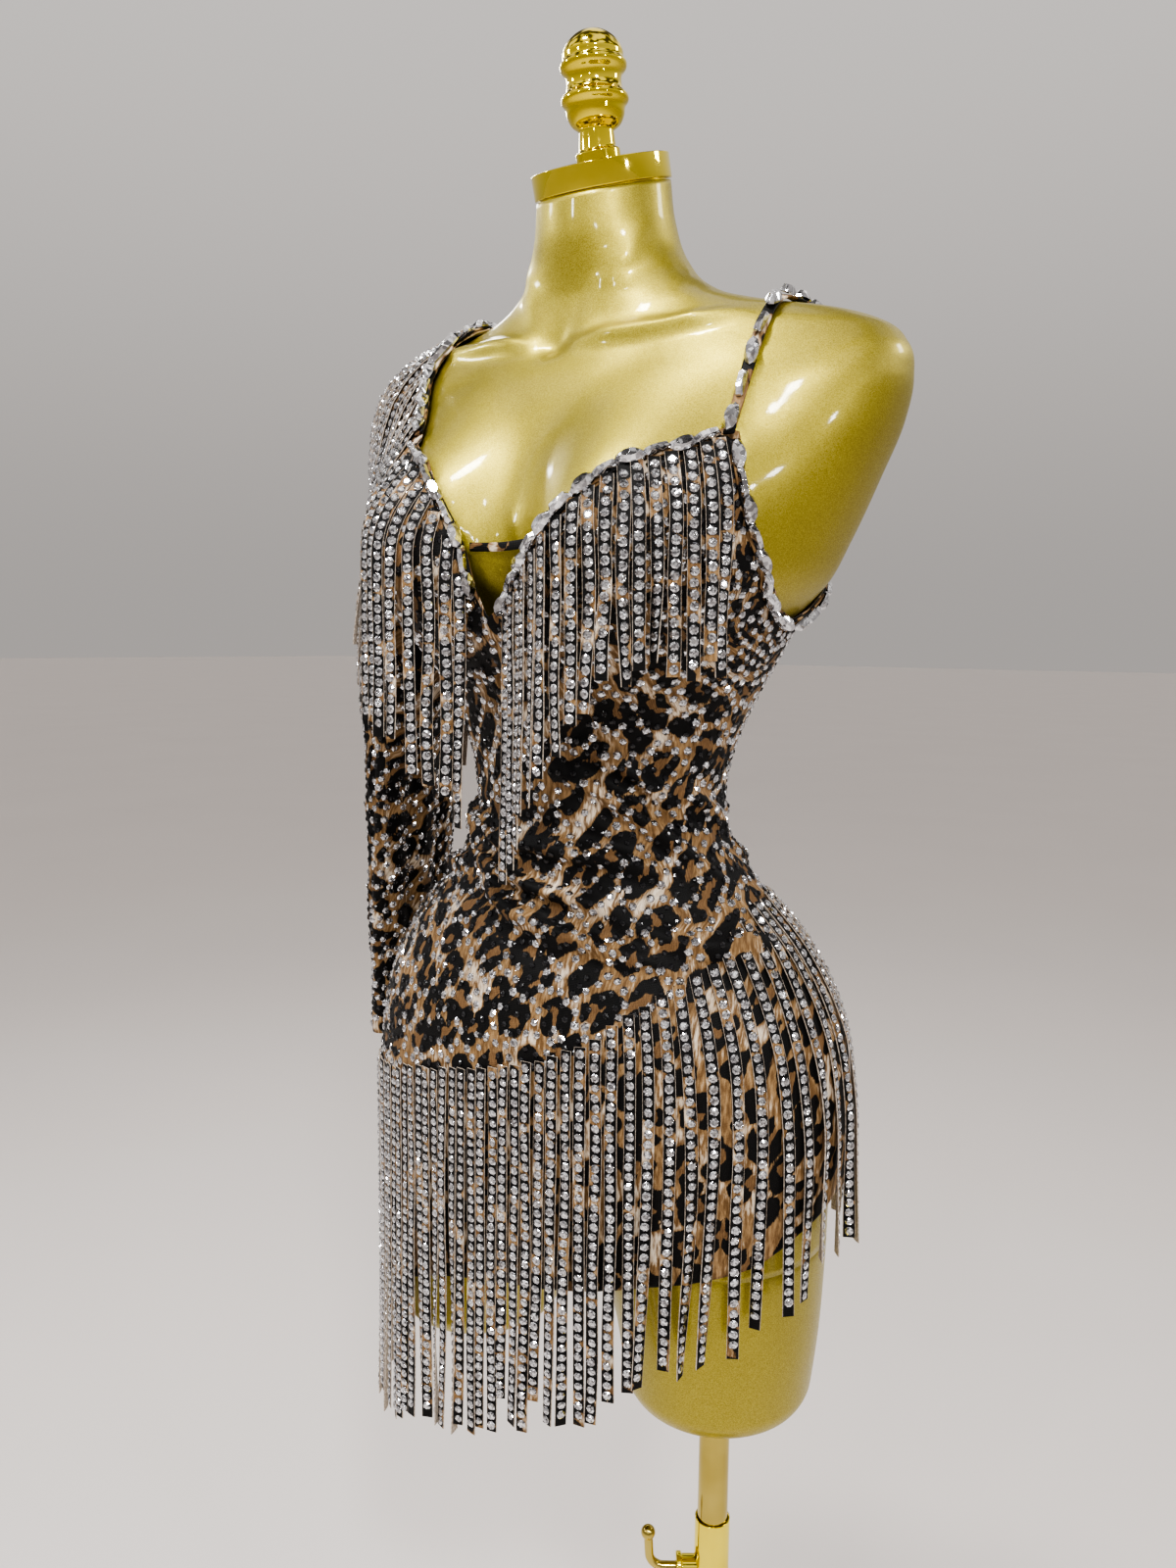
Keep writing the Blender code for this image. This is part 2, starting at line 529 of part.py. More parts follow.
# ---------------------------------------------------------------- dress body: front and back, joined at the side seams
SEAM = math.radians(0.08)
SKIN = CLOTH_GAP + CLOTH


def column_angles(edge, start, stop, columns):
    """The angles of a panel's columns: every corner of its edge, with others between them."""
    marks = np.radians([a for a, _ in edge])
    angles = list(marks)
    for a in np.linspace(start, stop, columns):
        if np.min(np.abs(np.array(angles) - a)) > math.radians(4.2):
            angles.append(a)
    return np.clip(np.sort(np.array(angles)), start + SEAM, stop - SEAM)


def row_heights(levels, low, top):
    """A column's heights: level rows in the middle, gathered or spread towards its own hem and top edge."""
    levels = np.array(levels)
    first, last = FIXED_LEVELS
    z = levels.copy()
    under, over = levels < first, levels > last
    z[under] = low + (levels[under] - levels[0]) * (first - low) / (first - levels[0])
    z[over] = last + (levels[over] - last) * (top - last) / (levels[-1] - last)
    return z


def panel(name, edge, hem, start, stop, columns, levels):
    """A body panel between two side seams, from the hem up to its shaped top edge."""
    angles = column_angles(edge, start, stop, columns)
    top = straight(edge, 1, np.degrees(angles))
    low = straight(hem, 1, np.degrees(angles))
    grid_z = np.array([row_heights(levels, l, t) for l, t in zip(low, top)])
    grid_a = np.repeat(angles[:, None], len(levels), axis=1)
    return wall(name, dress(grid_a, grid_z, SKIN), dress(grid_a, grid_z, CLOTH_GAP), "leopard_knit")


panel("dress_front", TOP_EDGE_FRONT, HEM, -math.pi, 0.0, 19, FRONT_LEVELS)
panel("dress_back", TOP_EDGE_BACK, HEM, 0.0, math.pi, 19, BACK_LEVELS)


def inset(edge, degrees, distance):
    """Points a distance inside a panel's edge, measured on the cloth, as (degrees, z) pairs."""
    degrees = np.asarray(degrees, float)
    step = 0.6
    here = dress(np.radians(degrees), straight(edge, 1, degrees), SKIN)
    ahead = dress(np.radians(degrees + step), straight(edge, 1, degrees + step), SKIN)
    behind = dress(np.radians(degrees - step), straight(edge, 1, degrees - step), SKIN)
    around_it = dress(np.radians(degrees + step), straight(edge, 1, degrees), SKIN) - here
    along_it = ahead - behind
    width = np.hypot(around_it[:, 0], around_it[:, 1]) / step  # metres per degree
    run = np.hypot(along_it[:, 0], along_it[:, 1])
    rise = along_it[:, 2]
    length = np.hypot(run, rise)
    return degrees + distance * rise / length / width, straight(edge, 1, degrees) - distance * run / length


def binding(name, edge, marks):
    """The bound edge: a narrow band on the panel, just inside its edge."""
    grid_a, grid_z = [], []
    for distance in (BAND + 0.0004, 0.0004):
        a, z = inset(edge, marks, distance)
        grid_a.append(np.radians(a))
        grid_z.append(z)
    grid_a, grid_z = np.array(grid_a).T, np.array(grid_z).T
    lift = SKIN + 0.0009
    return wall(name, dress(grid_a, grid_z, lift + BAND_T), dress(grid_a, grid_z, lift), "leopard_knit")


def spread(first, last, count):
    return np.linspace(first, last, count)


binding("neck_binding_left", TOP_EDGE_FRONT, np.concatenate([[-89.0, -87.5], spread(-85.0, -53.0, 14)]))
binding("neck_binding_right", TOP_EDGE_FRONT, np.concatenate([spread(-110.5, -99.0, 9), [-97.6, -96.6, -95.8, -95.0, -94.4]]))
binding("armhole_binding_left", TOP_EDGE_FRONT, spread(-46.5, -1.0, 16))
binding("back_binding", TOP_EDGE_BACK, np.concatenate([spread(1.0, 46.0, 10), spread(52.0, 112.0, 12), [116.0, 120.5]]))

# ---------------------------------------------------------------- shoulder yoke and sleeve on the right, hanging empty


def yoke_column(index, out):
    top, low = pointed(SHOULDER_EDGE, index), pointed(YOKE_LOW, index)
    share = np.array(YOKE_LEVELS)
    angle = low[0] + (top[0] - low[0]) * share
    z = low[1] + (top[1] - low[1]) * share
    return body(np.radians(angle), z, out)


outer_marks = spread(0.0, 1.0, 11)  # across the sleeve's outer side, from its front to its back


def yoke_line(index, out, skip):
    """A line down the yoke that starts a distance in from its neck-side edge."""
    line = yoke_column(index, out)
    length = np.concatenate([[0], np.cumsum(np.linalg.norm(np.diff(line, axis=0), axis=1))])
    at = np.concatenate([[skip], length[length > skip + 0.001]])
    return np.stack([np.interp(at, length, line[:, k]) for k in range(3)], -1)


yoke_marks = np.concatenate([spread(0.0, 2.4, 5), ARM_FIRST + (ARM_LAST - ARM_FIRST) * outer_marks, spread(9.6, 12.0, 5)])
wall(
    "shoulder_yoke",
    [yoke_column(i, SKIN) for i in yoke_marks],
    [yoke_column(i, CLOTH_GAP) for i in yoke_marks],
    "leopard_knit",
)

band_marks = np.concatenate([spread(0.75, 2.7, 5), spread(3.0, 9.0, 11), spread(9.4, 11.0, 4)])
band_lift = SKIN + 0.0009
wall(
    "yoke_binding",
    [yoke_line(i, band_lift + BAND_T, 0.0005)[:1].tolist() + yoke_line(i, band_lift + BAND_T, BAND)[:1].tolist() for i in band_marks],
    [yoke_line(i, band_lift, 0.0005)[:1].tolist() + yoke_line(i, band_lift, BAND)[:1].tolist() for i in band_marks],
    "leopard_knit",
)

POLAR = np.linspace(-math.pi, math.pi, 361)
FINE_Z = np.arange(0.60, 1.470, 0.005)


def reach_table():
    """Reach of the dressed form from the upright line through FORM_X, by height and direction."""
    fine_a = np.linspace(-math.pi, math.pi, 541)
    levels = np.arange(0.70, 1.4701, 0.005)
    p = dress(fine_a[:, None], levels[None, :], SKIN)
    rows = []
    for z in FINE_Z:
        x = np.array([np.interp(max(z, 0.705), np.maximum.accumulate(c[:, 2]), c[:, 0]) for c in p]) - FORM_X
        y = np.array([np.interp(max(z, 0.705), np.maximum.accumulate(c[:, 2]), c[:, 1]) for c in p])
        direction = np.arctan2(y, x)
        order = np.argsort(direction)
        rows.append(np.interp(POLAR, direction[order], np.hypot(x, y)[order], period=2 * math.pi))
    return np.array(rows)


REACH = reach_table()


def reach_at(direction, z):
    direction = (direction + math.pi) % (2 * math.pi) - math.pi
    u = (direction + math.pi) / (2 * math.pi) * 360
    v = float(np.clip((z - FINE_Z[0]) / 0.005, 0, len(FINE_Z) - 1.001))
    i, j = int(v), min(int(u), 359)
    fv, fu = v - i, u - j
    low = REACH[i, j] * (1 - fu) + REACH[i, j + 1] * fu
    high = REACH[i + 1, j] * (1 - fu) + REACH[i + 1, j + 1] * fu
    return low * (1 - fv) + high * fv


def kept_out(point, margin):
    """A point moved out, level, until it is a margin clear of the dressed form."""
    dx, dy = point[0] - FORM_X, point[1]
    r = math.hypot(dx, dy)
    need = reach_at(math.atan2(dy, dx), point[2]) + margin
    if r < need:
        return np.array([FORM_X + dx * need / r, dy * need / r, point[2]])
    return np.array(point)


def sleeve_ring(mark, z, out):
    """The hanging sleeve's lower section: mark 0 is its front fold, 0.5 its outer face, 1 its back fold, then inside."""
    angle = math.radians(-62.0 - 236.0 * mark) if mark <= 1 else math.radians(-298.0 - 124.0 * (mark - 1))
    cx, cy, hx, hy = (float(along(SLEEVE, k, z)) for k in range(1, 5))
    return np.array([FORM_X + cx + (hx + out) * math.cos(angle), cy + (hy + out) * math.sin(angle), z])


SLEEVE_ROWS = np.array([0.0, 0.022, 0.052, 0.095, 0.150, 0.220, 0.305, 0.410, 0.530, 0.670, 0.830, 1.0])
ARMHOLE = [(-228.0, 1.3560), (-221.5, 1.336), (-214.0, 1.309), (-203.5, 1.281), (-190.5, 1.265), (-180.0, 1.2595),
           (-169.5, 1.265), (-156.5, 1.281), (-146.0, 1.309), (-138.5, 1.336), (-132.0, 1.362)]


def sleeve_column(mark, out, rows=SLEEVE_ROWS):
    """One line down the sleeve: from the yoke's edge on its outer side (mark 0 to 1), else from the armhole."""
    if mark <= 1:
        degrees, z0 = pointed(YOKE_LOW, ARM_FIRST + (ARM_LAST - ARM_FIRST) * mark)
        z0 -= 0.0009
        start = body(math.radians(degrees), z0, CLOTH_GAP + out)
        margin, grow, end = 0.0010 + out, out, 1.19
    else:
        degrees, z0 = pointed(ARMHOLE, (len(ARMHOLE) - 1) * (mark - 1))
        start = body(math.radians(degrees), z0, SKIN + 0.0018 + CLOTH - out)
        margin, grow, end = 0.0018 + CLOTH - out, out, 1.15
    line = []
    for share in rows:
        z = z0 + (CUFF_Z - z0) * share
        s = min(1.0, (z0 - z) / max(z0 - end, 0.08))
        s = s * s * (3 - 2 * s)
        point = start * (1 - s) + sleeve_ring(mark, z, grow) * s
        point[2] = z
        line.append(kept_out(point, margin) if share > 0 else point)
    return np.array(line)


inner_marks = 1.0 + spread(0.06, 0.94, 10)
sleeve_marks = np.concatenate([outer_marks, inner_marks])
wall(
    "sleeve",
    [sleeve_column(m, CLOTH) for m in sleeve_marks],
    [sleeve_column(m, 0.0) for m in sleeve_marks],
    "leopard_knit",
    closed=True,
)


# ---------------------------------------------------------------- left shoulder strap, taut over the shoulder, and the strap between the cups
STRAP_X, STRAP_HALF, STRAP_T = FORM_X + 0.1365, 0.0046, 0.0020


def strap_edge(side, lift):
    """One edge of the strap: the shortest line over the shoulder from the front panel to the back panel."""
    front = dress(math.radians(-50.0), 1.3685, SKIN + 0.0016)
    back = dress(math.radians(43.0), 1.3060, SKIN + 0.0024)
    points = [(front[1], front[2]), (back[1], back[2])]
    for z in np.arange(1.31, 1.4605, 0.003):
        half, ahead, behind, widest, square = (float(along(SECTIONS, k, z)) for k in range(1, 6))
        for end, reach in ((front, ahead - widest), (back, behind - widest)):
            x = end[0] + (STRAP_X - end[0]) * min(1.0, (z - end[2]) / (1.455 - end[2])) + side * STRAP_HALF - FORM_X
            if z > end[2] + 0.004 and abs(x) < half:
                y = widest + reach * (1 - (abs(x) / half) ** square) ** (1 / square)
                points.append((y + math.copysign(0.0012, reach), z + 0.0019))
    # The taut line is the upper side of the hull of these points.
    lower_first = sorted(points)
    taut = []
    for p in lower_first:
        while len(taut) > 1 and (taut[-1][0] - taut[-2][0]) * (p[1] - taut[-2][1]) - (taut[-1][1] - taut[-2][1]) * (p[0] - taut[-2][0]) >= 0:
            taut.pop()
        taut.append(p)
    tail = [p for p in points if p[0] > back[1] - 0.02 and p[1] <= taut[-1][1]] if taut[-1] != (back[1], back[2]) else []
    low = (back[1], back[2])
    while tail and taut[-1] != low:
        here = taut[-1]
        rest = [p for p in tail if p[1] < here[1] - 1e-9]
        if not rest:
            break
        taut.append(max(rest, key=lambda p: (p[0] - here[0]) / (here[1] - p[1])))
    taut = np.array(taut)
    length = np.concatenate([[0], np.cumsum(np.linalg.norm(np.diff(taut, axis=0), axis=1))])
    at = np.linspace(0, length[-1], 28)
    line = np.stack([np.interp(at, length, taut[:, k]) for k in (0, 1)], -1)
    heading = np.gradient(line, axis=0)
    heading /= np.linalg.norm(heading, axis=1)[:, None]
    end_x = np.where(line[:, 0] < 0.02, front[0], back[0])
    end_z = np.where(line[:, 0] < 0.02, front[2], back[2])
    x = end_x + (STRAP_X - end_x) * np.clip((line[:, 1] - end_z) / (1.455 - end_z), 0, 1) + side * STRAP_HALF
    return np.stack([x, line[:, 0] - heading[:, 1] * lift, line[:, 1] + heading[:, 0] * lift], -1)


wall(
    "shoulder_strap",
    [strap_edge(s, 0.0006 + STRAP_T) for s in (-1, 1)],
    [strap_edge(s, 0.0006) for s in (-1, 1)],
    "leopard_knit",
)


def bridge():
    z_low, z_high = 1.2985, 1.3060
    right = dress(math.radians(-96.6), 1.301, SKIN)
    left = dress(math.radians(-78.6), 1.301, SKIN)
    xs = np.linspace(right[0] + 0.0024, left[0] - 0.0024, 9)
    share = (xs - xs[0]) / (xs[-1] - xs[0])
    # The strap bows slightly inwards between the two cups.
    y = right[1] * (1 - share) + left[1] * share + 0.0015 + 0.002 * np.sin(np.pi * share)
    outer = np.stack([np.stack([xs, y - 0.0016, np.full_like(xs, z)], -1) for z in (z_low, z_high)], axis=1)
    inner = np.stack([np.stack([xs, y, np.full_like(xs, z)], -1) for z in (z_low, z_high)], axis=1)
    return wall("bridge_strap", outer, inner, "leopard_knit")


bridge()


# ---------------------------------------------------------------- fringe: curtains that lie on the cloth, then hang straight down
def resampled(line, at):
    length = np.concatenate([[0], np.cumsum(np.linalg.norm(np.diff(line, axis=0), axis=1))])
    return np.stack([np.interp(at, length, line[:, k]) for k in range(3)], -1)


def hang(points, drop, margin):
    """A strip's line: along the points given, then down the cloth, and plumb where the cloth falls away."""
    line = [np.array(p) for p in points]
    done = float(np.sum(np.linalg.norm(np.diff(np.array(line), axis=0), axis=1))) if len(line) > 1 else 0.0
    while done < drop:
        p = line[-1]
        q = kept_out(p - np.array([0, 0, 0.002]), margin)
        done += float(np.linalg.norm(q - p))
        line.append(q)
    return np.array(line)


def curtain(name, starts, drops, rows):
    """A fringe as a plain curtain of its reach; starts gives each strip's first points at an offset from the form."""
    layers = []
    for gap in (FRINGE_GAP, FRINGE_GAP + FRINGE):
        lines = [hang(start(SKIN + gap), drop, gap) for start, drop in zip(starts, drops)]
        layers.append([resampled(line, drop * np.array(rows)) for line, drop in zip(lines, drops)])
    return wall(name, layers[1], layers[0], "crystal_fringe")


def on_edge(edge, degrees, distance):
    a, z = inset(edge, [degrees], distance)
    return lambda out: [dress(math.radians(a[0]), z[0], out)]


def on_line(line, degrees):
    return lambda out: [dress(math.radians(degrees), straight(line, 1, degrees), out)]


def on_yoke(index):
    return lambda out: yoke_line(index, out, BELOW_BAND)


CHEST_ROWS = [0, 0.08, 0.16, 0.25, 0.35, 0.46, 0.60, 0.78, 1.0]
HIP_ROWS = [0, 0.06, 0.12, 0.19, 0.27, 0.36, 0.47, 0.60, 1.0]
BELOW_BAND = BAND + 0.0024
left_marks = (-88.0, -85.6, -83.0, -80.0, -77.0, -74.0, -71.0, -68.0, -65.0, -61.5, -58.0, -54.5, -51.0)
right_marks = (-112.5, -110.5, -108.0, -105.5, -103.0, -101.0, -99.4, -98.0, -97.0)
front_yoke = (2.9, 2.5, 2.1, 1.7, 1.3, 0.9)
left = [on_edge(TOP_EDGE_FRONT, d, BELOW_BAND) for d in left_marks]
right = [on_yoke(i) for i in front_yoke] + [on_edge(TOP_EDGE_FRONT, d, BELOW_BAND) for d in right_marks]
curtain("chest_fringe_left", left, [CHEST_DROP] * len(left), CHEST_ROWS)
curtain("chest_fringe_right", right, [CHEST_DROP + 0.020] * len(front_yoke) + [CHEST_DROP] * len(right_marks), CHEST_ROWS)
for name, first, last in (("hip_fringe_front", -179.9, -0.1), ("hip_fringe_back", 0.1, 179.9)):
    marks = spread(first, last, 19)
    curtain(name, [on_line(HIP_LINE, d) for d in marks], [float(straight(HIP_DROP, 1, d)) for d in marks], HIP_ROWS)


def shoulder_fringe():
    """The strips that fall over the shoulder and the sleeve's outer face, as one curtain from front to back."""
    layers = []
    for extra in (FRINGE_GAP + 0.0006, FRINGE_GAP + 0.0006 + FRINGE):
        grid = []
        for mark in spread(0.03, 0.97, 12):
            over = yoke_column(ARM_FIRST + (ARM_LAST - ARM_FIRST) * mark, SKIN + extra)[1:]
            down = sleeve_column(mark, CLOTH + extra, SLEEVE_ROWS[1:8])
            grid.append(np.concatenate([over[:-1], down]))
        layers.append(grid)
    return wall("sleeve_fringe", layers[1], layers[0], "crystal_fringe")


shoulder_fringe()
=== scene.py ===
"""The dress, its dress form and its stand, as they are seen. Metres, +Z up, in the CAD frame.

The front of the form faces -Y, the wearer's left is +X, and the pole stands on the Z axis.
"""

import math

import bpy
import numpy as np
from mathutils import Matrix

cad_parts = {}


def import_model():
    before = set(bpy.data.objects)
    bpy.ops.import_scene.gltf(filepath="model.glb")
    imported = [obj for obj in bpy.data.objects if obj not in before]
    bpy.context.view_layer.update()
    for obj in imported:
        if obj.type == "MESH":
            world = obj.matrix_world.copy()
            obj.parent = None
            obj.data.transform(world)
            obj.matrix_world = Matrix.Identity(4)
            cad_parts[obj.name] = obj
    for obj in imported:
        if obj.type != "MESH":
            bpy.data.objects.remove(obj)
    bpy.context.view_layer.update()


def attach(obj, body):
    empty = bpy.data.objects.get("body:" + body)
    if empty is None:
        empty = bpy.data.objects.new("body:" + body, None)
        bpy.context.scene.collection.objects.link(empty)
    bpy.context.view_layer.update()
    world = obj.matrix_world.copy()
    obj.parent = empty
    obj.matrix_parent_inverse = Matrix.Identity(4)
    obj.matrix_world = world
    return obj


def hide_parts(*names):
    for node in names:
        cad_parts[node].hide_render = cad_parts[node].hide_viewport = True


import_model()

# ---------------------------------------------------------------- the dress's own sizes
FORM_X = -0.105  # the form's centre line, from the pole's axis
STUB_Z = 0.719  # underside of the thigh stubs
CROTCH_Z = 0.838
NECK_Z = 1.545  # middle of the neck's cut, before it slopes
NECK_SLOPE = 0.34  # rise of the neck's cut per metre towards the back
GAP = 0.0003  # between touching pieces
CLOTH_GAP = 0.0012  # cloth to form
CLOTH = 0.0016  # thickness of the dress cloth
FRINGE_GAP = 0.0024  # dress cloth to fringe
UNDER = 0.0036  # how far the form stands back where the dress covers it
FRINGE = 0.0020  # thickness of a fringe curtain
BAND = 0.0070  # width of the edge binding
CHEST_DROP = 0.155  # length of the chest fringe
CUFF_Z = 0.915
POLE_R, TUBE_R, TUBE_BORE = 0.011, 0.0125, 0.0113
TUBE_TOP, MAST_BOTTOM, MAST_TOP = 0.618, 0.350, 0.800
BASE_R, BASE_T = 0.170, 0.008
CLAMP_Z, CLAMP_DIRECTION = 0.578, 213.0  # height and compass direction of the clamp screw, degrees from +X
SECTIONS = [
    (0.700, 0.174, -0.084, 0.090, 0.004, 2.70),
    (0.780, 0.1765, -0.088, 0.098, 0.004, 2.65),
    (0.830, 0.1795, -0.094, 0.110, 0.006, 2.45),
    (0.880, 0.1825, -0.098, 0.124, 0.008, 2.30),
    (0.940, 0.183, -0.101, 0.132, 0.010, 2.20),
    (0.990, 0.174, -0.098, 0.129, 0.010, 2.15),
    (1.040, 0.149, -0.084, 0.110, 0.009, 2.10),
    (1.080, 0.115, -0.073, 0.084, 0.006, 2.10),
    (1.120, 0.093, -0.067, 0.071, 0.002, 2.10),
    (1.150, 0.091, -0.067, 0.070, 0.002, 2.10),
    (1.190, 0.103, -0.074, 0.075, 0.003, 2.10),
    (1.230, 0.123, -0.084, 0.084, 0.005, 2.10),
    (1.262, 0.141, -0.091, 0.092, 0.008, 2.10),
    (1.285, 0.161, -0.094, 0.098, 0.012, 2.10),
    (1.310, 0.173, -0.095, 0.102, 0.016, 2.15),
    (1.350, 0.190, -0.090, 0.106, 0.020, 2.20),
    (1.385, 0.203, -0.079, 0.104, 0.026, 2.20),
    (1.410, 0.207, -0.067, 0.099, 0.028, 2.20),
    (1.430, 0.203, -0.054, 0.092, 0.030, 2.15),
    (1.443, 0.190, -0.046, 0.086, 0.030, 2.10),
    (1.452, 0.166, -0.042, 0.080, 0.028, 2.00),
    (1.460, 0.128, -0.040, 0.075, 0.024, 2.00),
    (1.469, 0.094, -0.039, 0.070, 0.018, 2.00),
    (1.481, 0.070, -0.040, 0.063, 0.012, 2.00),
    (1.496, 0.057, -0.042, 0.055, 0.006, 2.00),
    (1.520, 0.0485, -0.045, 0.047, 0.001, 2.00),
    (1.545, 0.0455, -0.0455, 0.0435, -0.001, 2.00),
]
THIGHS = [
    (0.726, 0.064, 0.066, 0.106, 0.000),
    (0.770, 0.070, 0.073, 0.104, 0.002),
    (0.820, 0.077, 0.083, 0.098, 0.005),
    (0.880, 0.082, 0.092, 0.092, 0.008),
    (0.920, 0.083, 0.094, 0.092, 0.008),
]
BUST = {"x": 0.078, "z": 1.292, "reach": 0.078, "height": 0.058}
SEAT = {"x": 0.075, "z": 0.945, "reach": 0.085, "height": 0.016}
CLEAVAGE_FILL = {"height": 0.020, "x": 0.034, "z": 1.246, "zr": 0.036}  # the cloth bridges the hollow
TOP_EDGE_FRONT = [  # from the right underarm over both cups to the left underarm
    (-180.0, 1.2615), (-169.5, 1.267), (-156.5, 1.283), (-146.0, 1.311), (-138.5, 1.338), (-132.0, 1.366),
    (-120.0, 1.370), (-112.0, 1.371), (-106.0, 1.357), (-101.5, 1.336), (-98.5, 1.318), (-96.5, 1.300),
    (-95.0, 1.280), (-92.5, 1.2595), (-89.5, 1.264), (-86.0, 1.277), (-82.0, 1.289), (-78.5, 1.299),
    (-71.5, 1.323), (-68.5, 1.335), (-64.0, 1.349), (-56.5, 1.359), (-51.0, 1.368), (-48.0, 1.366),
    (-41.5, 1.338), (-34.0, 1.311), (-23.5, 1.283), (-10.5, 1.267), (0.0, 1.2615),
]
TOP_EDGE_BACK = [  # from the left underarm across the back to the right underarm
    (0.0, 1.2615), (12.0, 1.268), (26.0, 1.284), (40.0, 1.302), (50.0, 1.309), (58.0, 1.303), (70.0, 1.287),
    (84.0, 1.275), (96.0, 1.278), (108.0, 1.296), (116.0, 1.322), (122.0, 1.352), (132.0, 1.360),
    (138.5, 1.338), (146.0, 1.311), (156.5, 1.283), (169.5, 1.267), (180.0, 1.2615),
]
HEM = [
    (-180.0, 0.752), (-131.5, 0.758), (-110.0, 0.785), (-83.5, 0.813), (-63.0, 0.832), (-50.0, 0.840),
    (-33.0, 0.851), (-18.0, 0.868), (0.0, 0.882), (30.0, 0.880), (60.0, 0.858), (90.0, 0.828),
    (120.0, 0.796), (150.0, 0.768), (180.0, 0.752),
]
HIP_LINE = [  # where the hip fringe is sewn on: a slanting line, high on the left
    (-180.0, 0.921), (-136.5, 0.928), (-114.5, 0.943), (-101.5, 0.954), (-91.5, 0.963), (-85.0, 0.971),
    (-72.5, 0.990), (-63.5, 1.008), (-50.0, 1.028), (-38.5, 1.040), (-27.5, 1.054), (-5.5, 1.071),
    (16.5, 1.074), (45.0, 1.064), (75.0, 1.036), (105.0, 0.998), (135.0, 0.958), (160.0, 0.932), (180.0, 0.921),
]
HIP_DROP = [  # length of the hip fringe, by angle
    (-180.0, 0.280), (-132.0, 0.278), (-100.0, 0.262), (-60.0, 0.250), (0.0, 0.248), (60.0, 0.250), (120.0, 0.268),
    (180.0, 0.280),
]
# The shoulder yoke's neck-side edge, over the right shoulder from front to back, and its lower edge, point by point.
SHOULDER_EDGE = [
    (-112.0, 1.3755), (-116.0, 1.400), (-121.0, 1.426), (-124.5, 1.447), (-136.0, 1.4595), (-158.0, 1.4665),
    (-180.0, 1.4680), (-202.0, 1.4665), (-222.0, 1.459), (-234.0, 1.440), (-237.0, 1.410), (-238.0, 1.380),
    (-238.0, 1.3575),
]
YOKE_LOW = [
    (-112.5, 1.3722), (-119.0, 1.3716), (-127.0, 1.3708), (-134.0, 1.3708), (-145.0, 1.379), (-162.0, 1.388),
    (-180.0, 1.3920), (-198.0, 1.3880), (-215.0, 1.379), (-226.0, 1.3668), (-230.0, 1.3655), (-234.5, 1.3610),
    (-237.5, 1.3560),
]
YOKE_LEVELS = [1.0, 0.960, 0.910, 0.845, 0.755, 0.635, 0.470, 0.250, 0.0]
ARM_FIRST, ARM_LAST = 3, 9  # the part of the yoke's lower edge that the sleeve hangs from
FIXED_LEVELS = (1.000, 1.215)  # between these a panel's rows run level
SLEEVE = [
    (1.250, -0.186, 0.016, 0.0270, 0.0580),
    (1.180, -0.189, 0.018, 0.0215, 0.0520),
    (1.100, -0.196, 0.022, 0.0185, 0.0475),
    (1.020, -0.210, 0.032, 0.0170, 0.0445),
    (0.960, -0.218, 0.040, 0.0160, 0.0420),
    (CUFF_Z, -0.220, 0.043, 0.0155, 0.0400),
]
FINIAL_LEAN = math.radians(7.0)  # the finial leans forward less than the cap does
FOOT_RING = 0.0080  # height of the finial's foot ring
# Finial on the neck cap: height above the cap, radius.
FINIAL = [
    (0.0000, 0.0150), (0.0080, 0.0150), (0.0091, 0.0125), (0.0198, 0.0115), (0.0212, 0.0128), (0.0241, 0.0165),
    (0.0288, 0.0190), (0.0340, 0.0200), (0.0382, 0.0225), (0.0401, 0.0222), (0.0430, 0.0196), (0.0477, 0.0182),
    (0.0529, 0.0186), (0.0576, 0.0220), (0.0595, 0.0222), (0.0619, 0.0205), (0.0666, 0.0200), (0.0718, 0.0176),
    (0.0760, 0.0136), (0.0791, 0.0085), (0.0806, 0.0030),
]


def along(rows, column, at):
    """A smooth curve through one column of a table, at the given heights or angles."""
    table = np.array(rows, float)
    if table[0, 0] > table[-1, 0]:
        table = table[::-1]
    x, y = table[:, 0], table[:, column]
    slope = np.empty_like(y)
    step = np.diff(x)
    rise = np.diff(y) / step
    slope[1:-1] = (rise[:-1] * step[1:] + rise[1:] * step[:-1]) / (x[2:] - x[:-2])
    slope[0], slope[-1] = rise[0], rise[-1]
    at = np.clip(at, x[0], x[-1])
    i = np.clip(np.searchsorted(x, at, side="right") - 1, 0, len(x) - 2)
    h = step[i]
    t = (at - x[i]) / h
    return (
        (2 * t**3 - 3 * t**2 + 1) * y[i]
        + (t**3 - 2 * t**2 + t) * h * slope[i]
        + (3 * t**2 - 2 * t**3) * y[i + 1]
        + (t**3 - t**2) * h * slope[i + 1]
    )



def straight(rows, column, at):
    table = np.array(rows, float)
    if table[0, 0] > table[-1, 0]:
        table = table[::-1]
    return np.interp(at, table[:, 0], table[:, column])



def pointed(rows, index):
    """The point of a line at a fractional index."""
    table = np.array(rows, float)
    return np.array([np.interp(index, range(len(table)), table[:, k]) for k in range(table.shape[1])])



def raised(distance):
    """A round rise: 1 at its middle and 0 from a distance of 1 on."""
    return 0.5 + 0.5 * np.cos(np.pi * np.clip(distance, 0, 1))



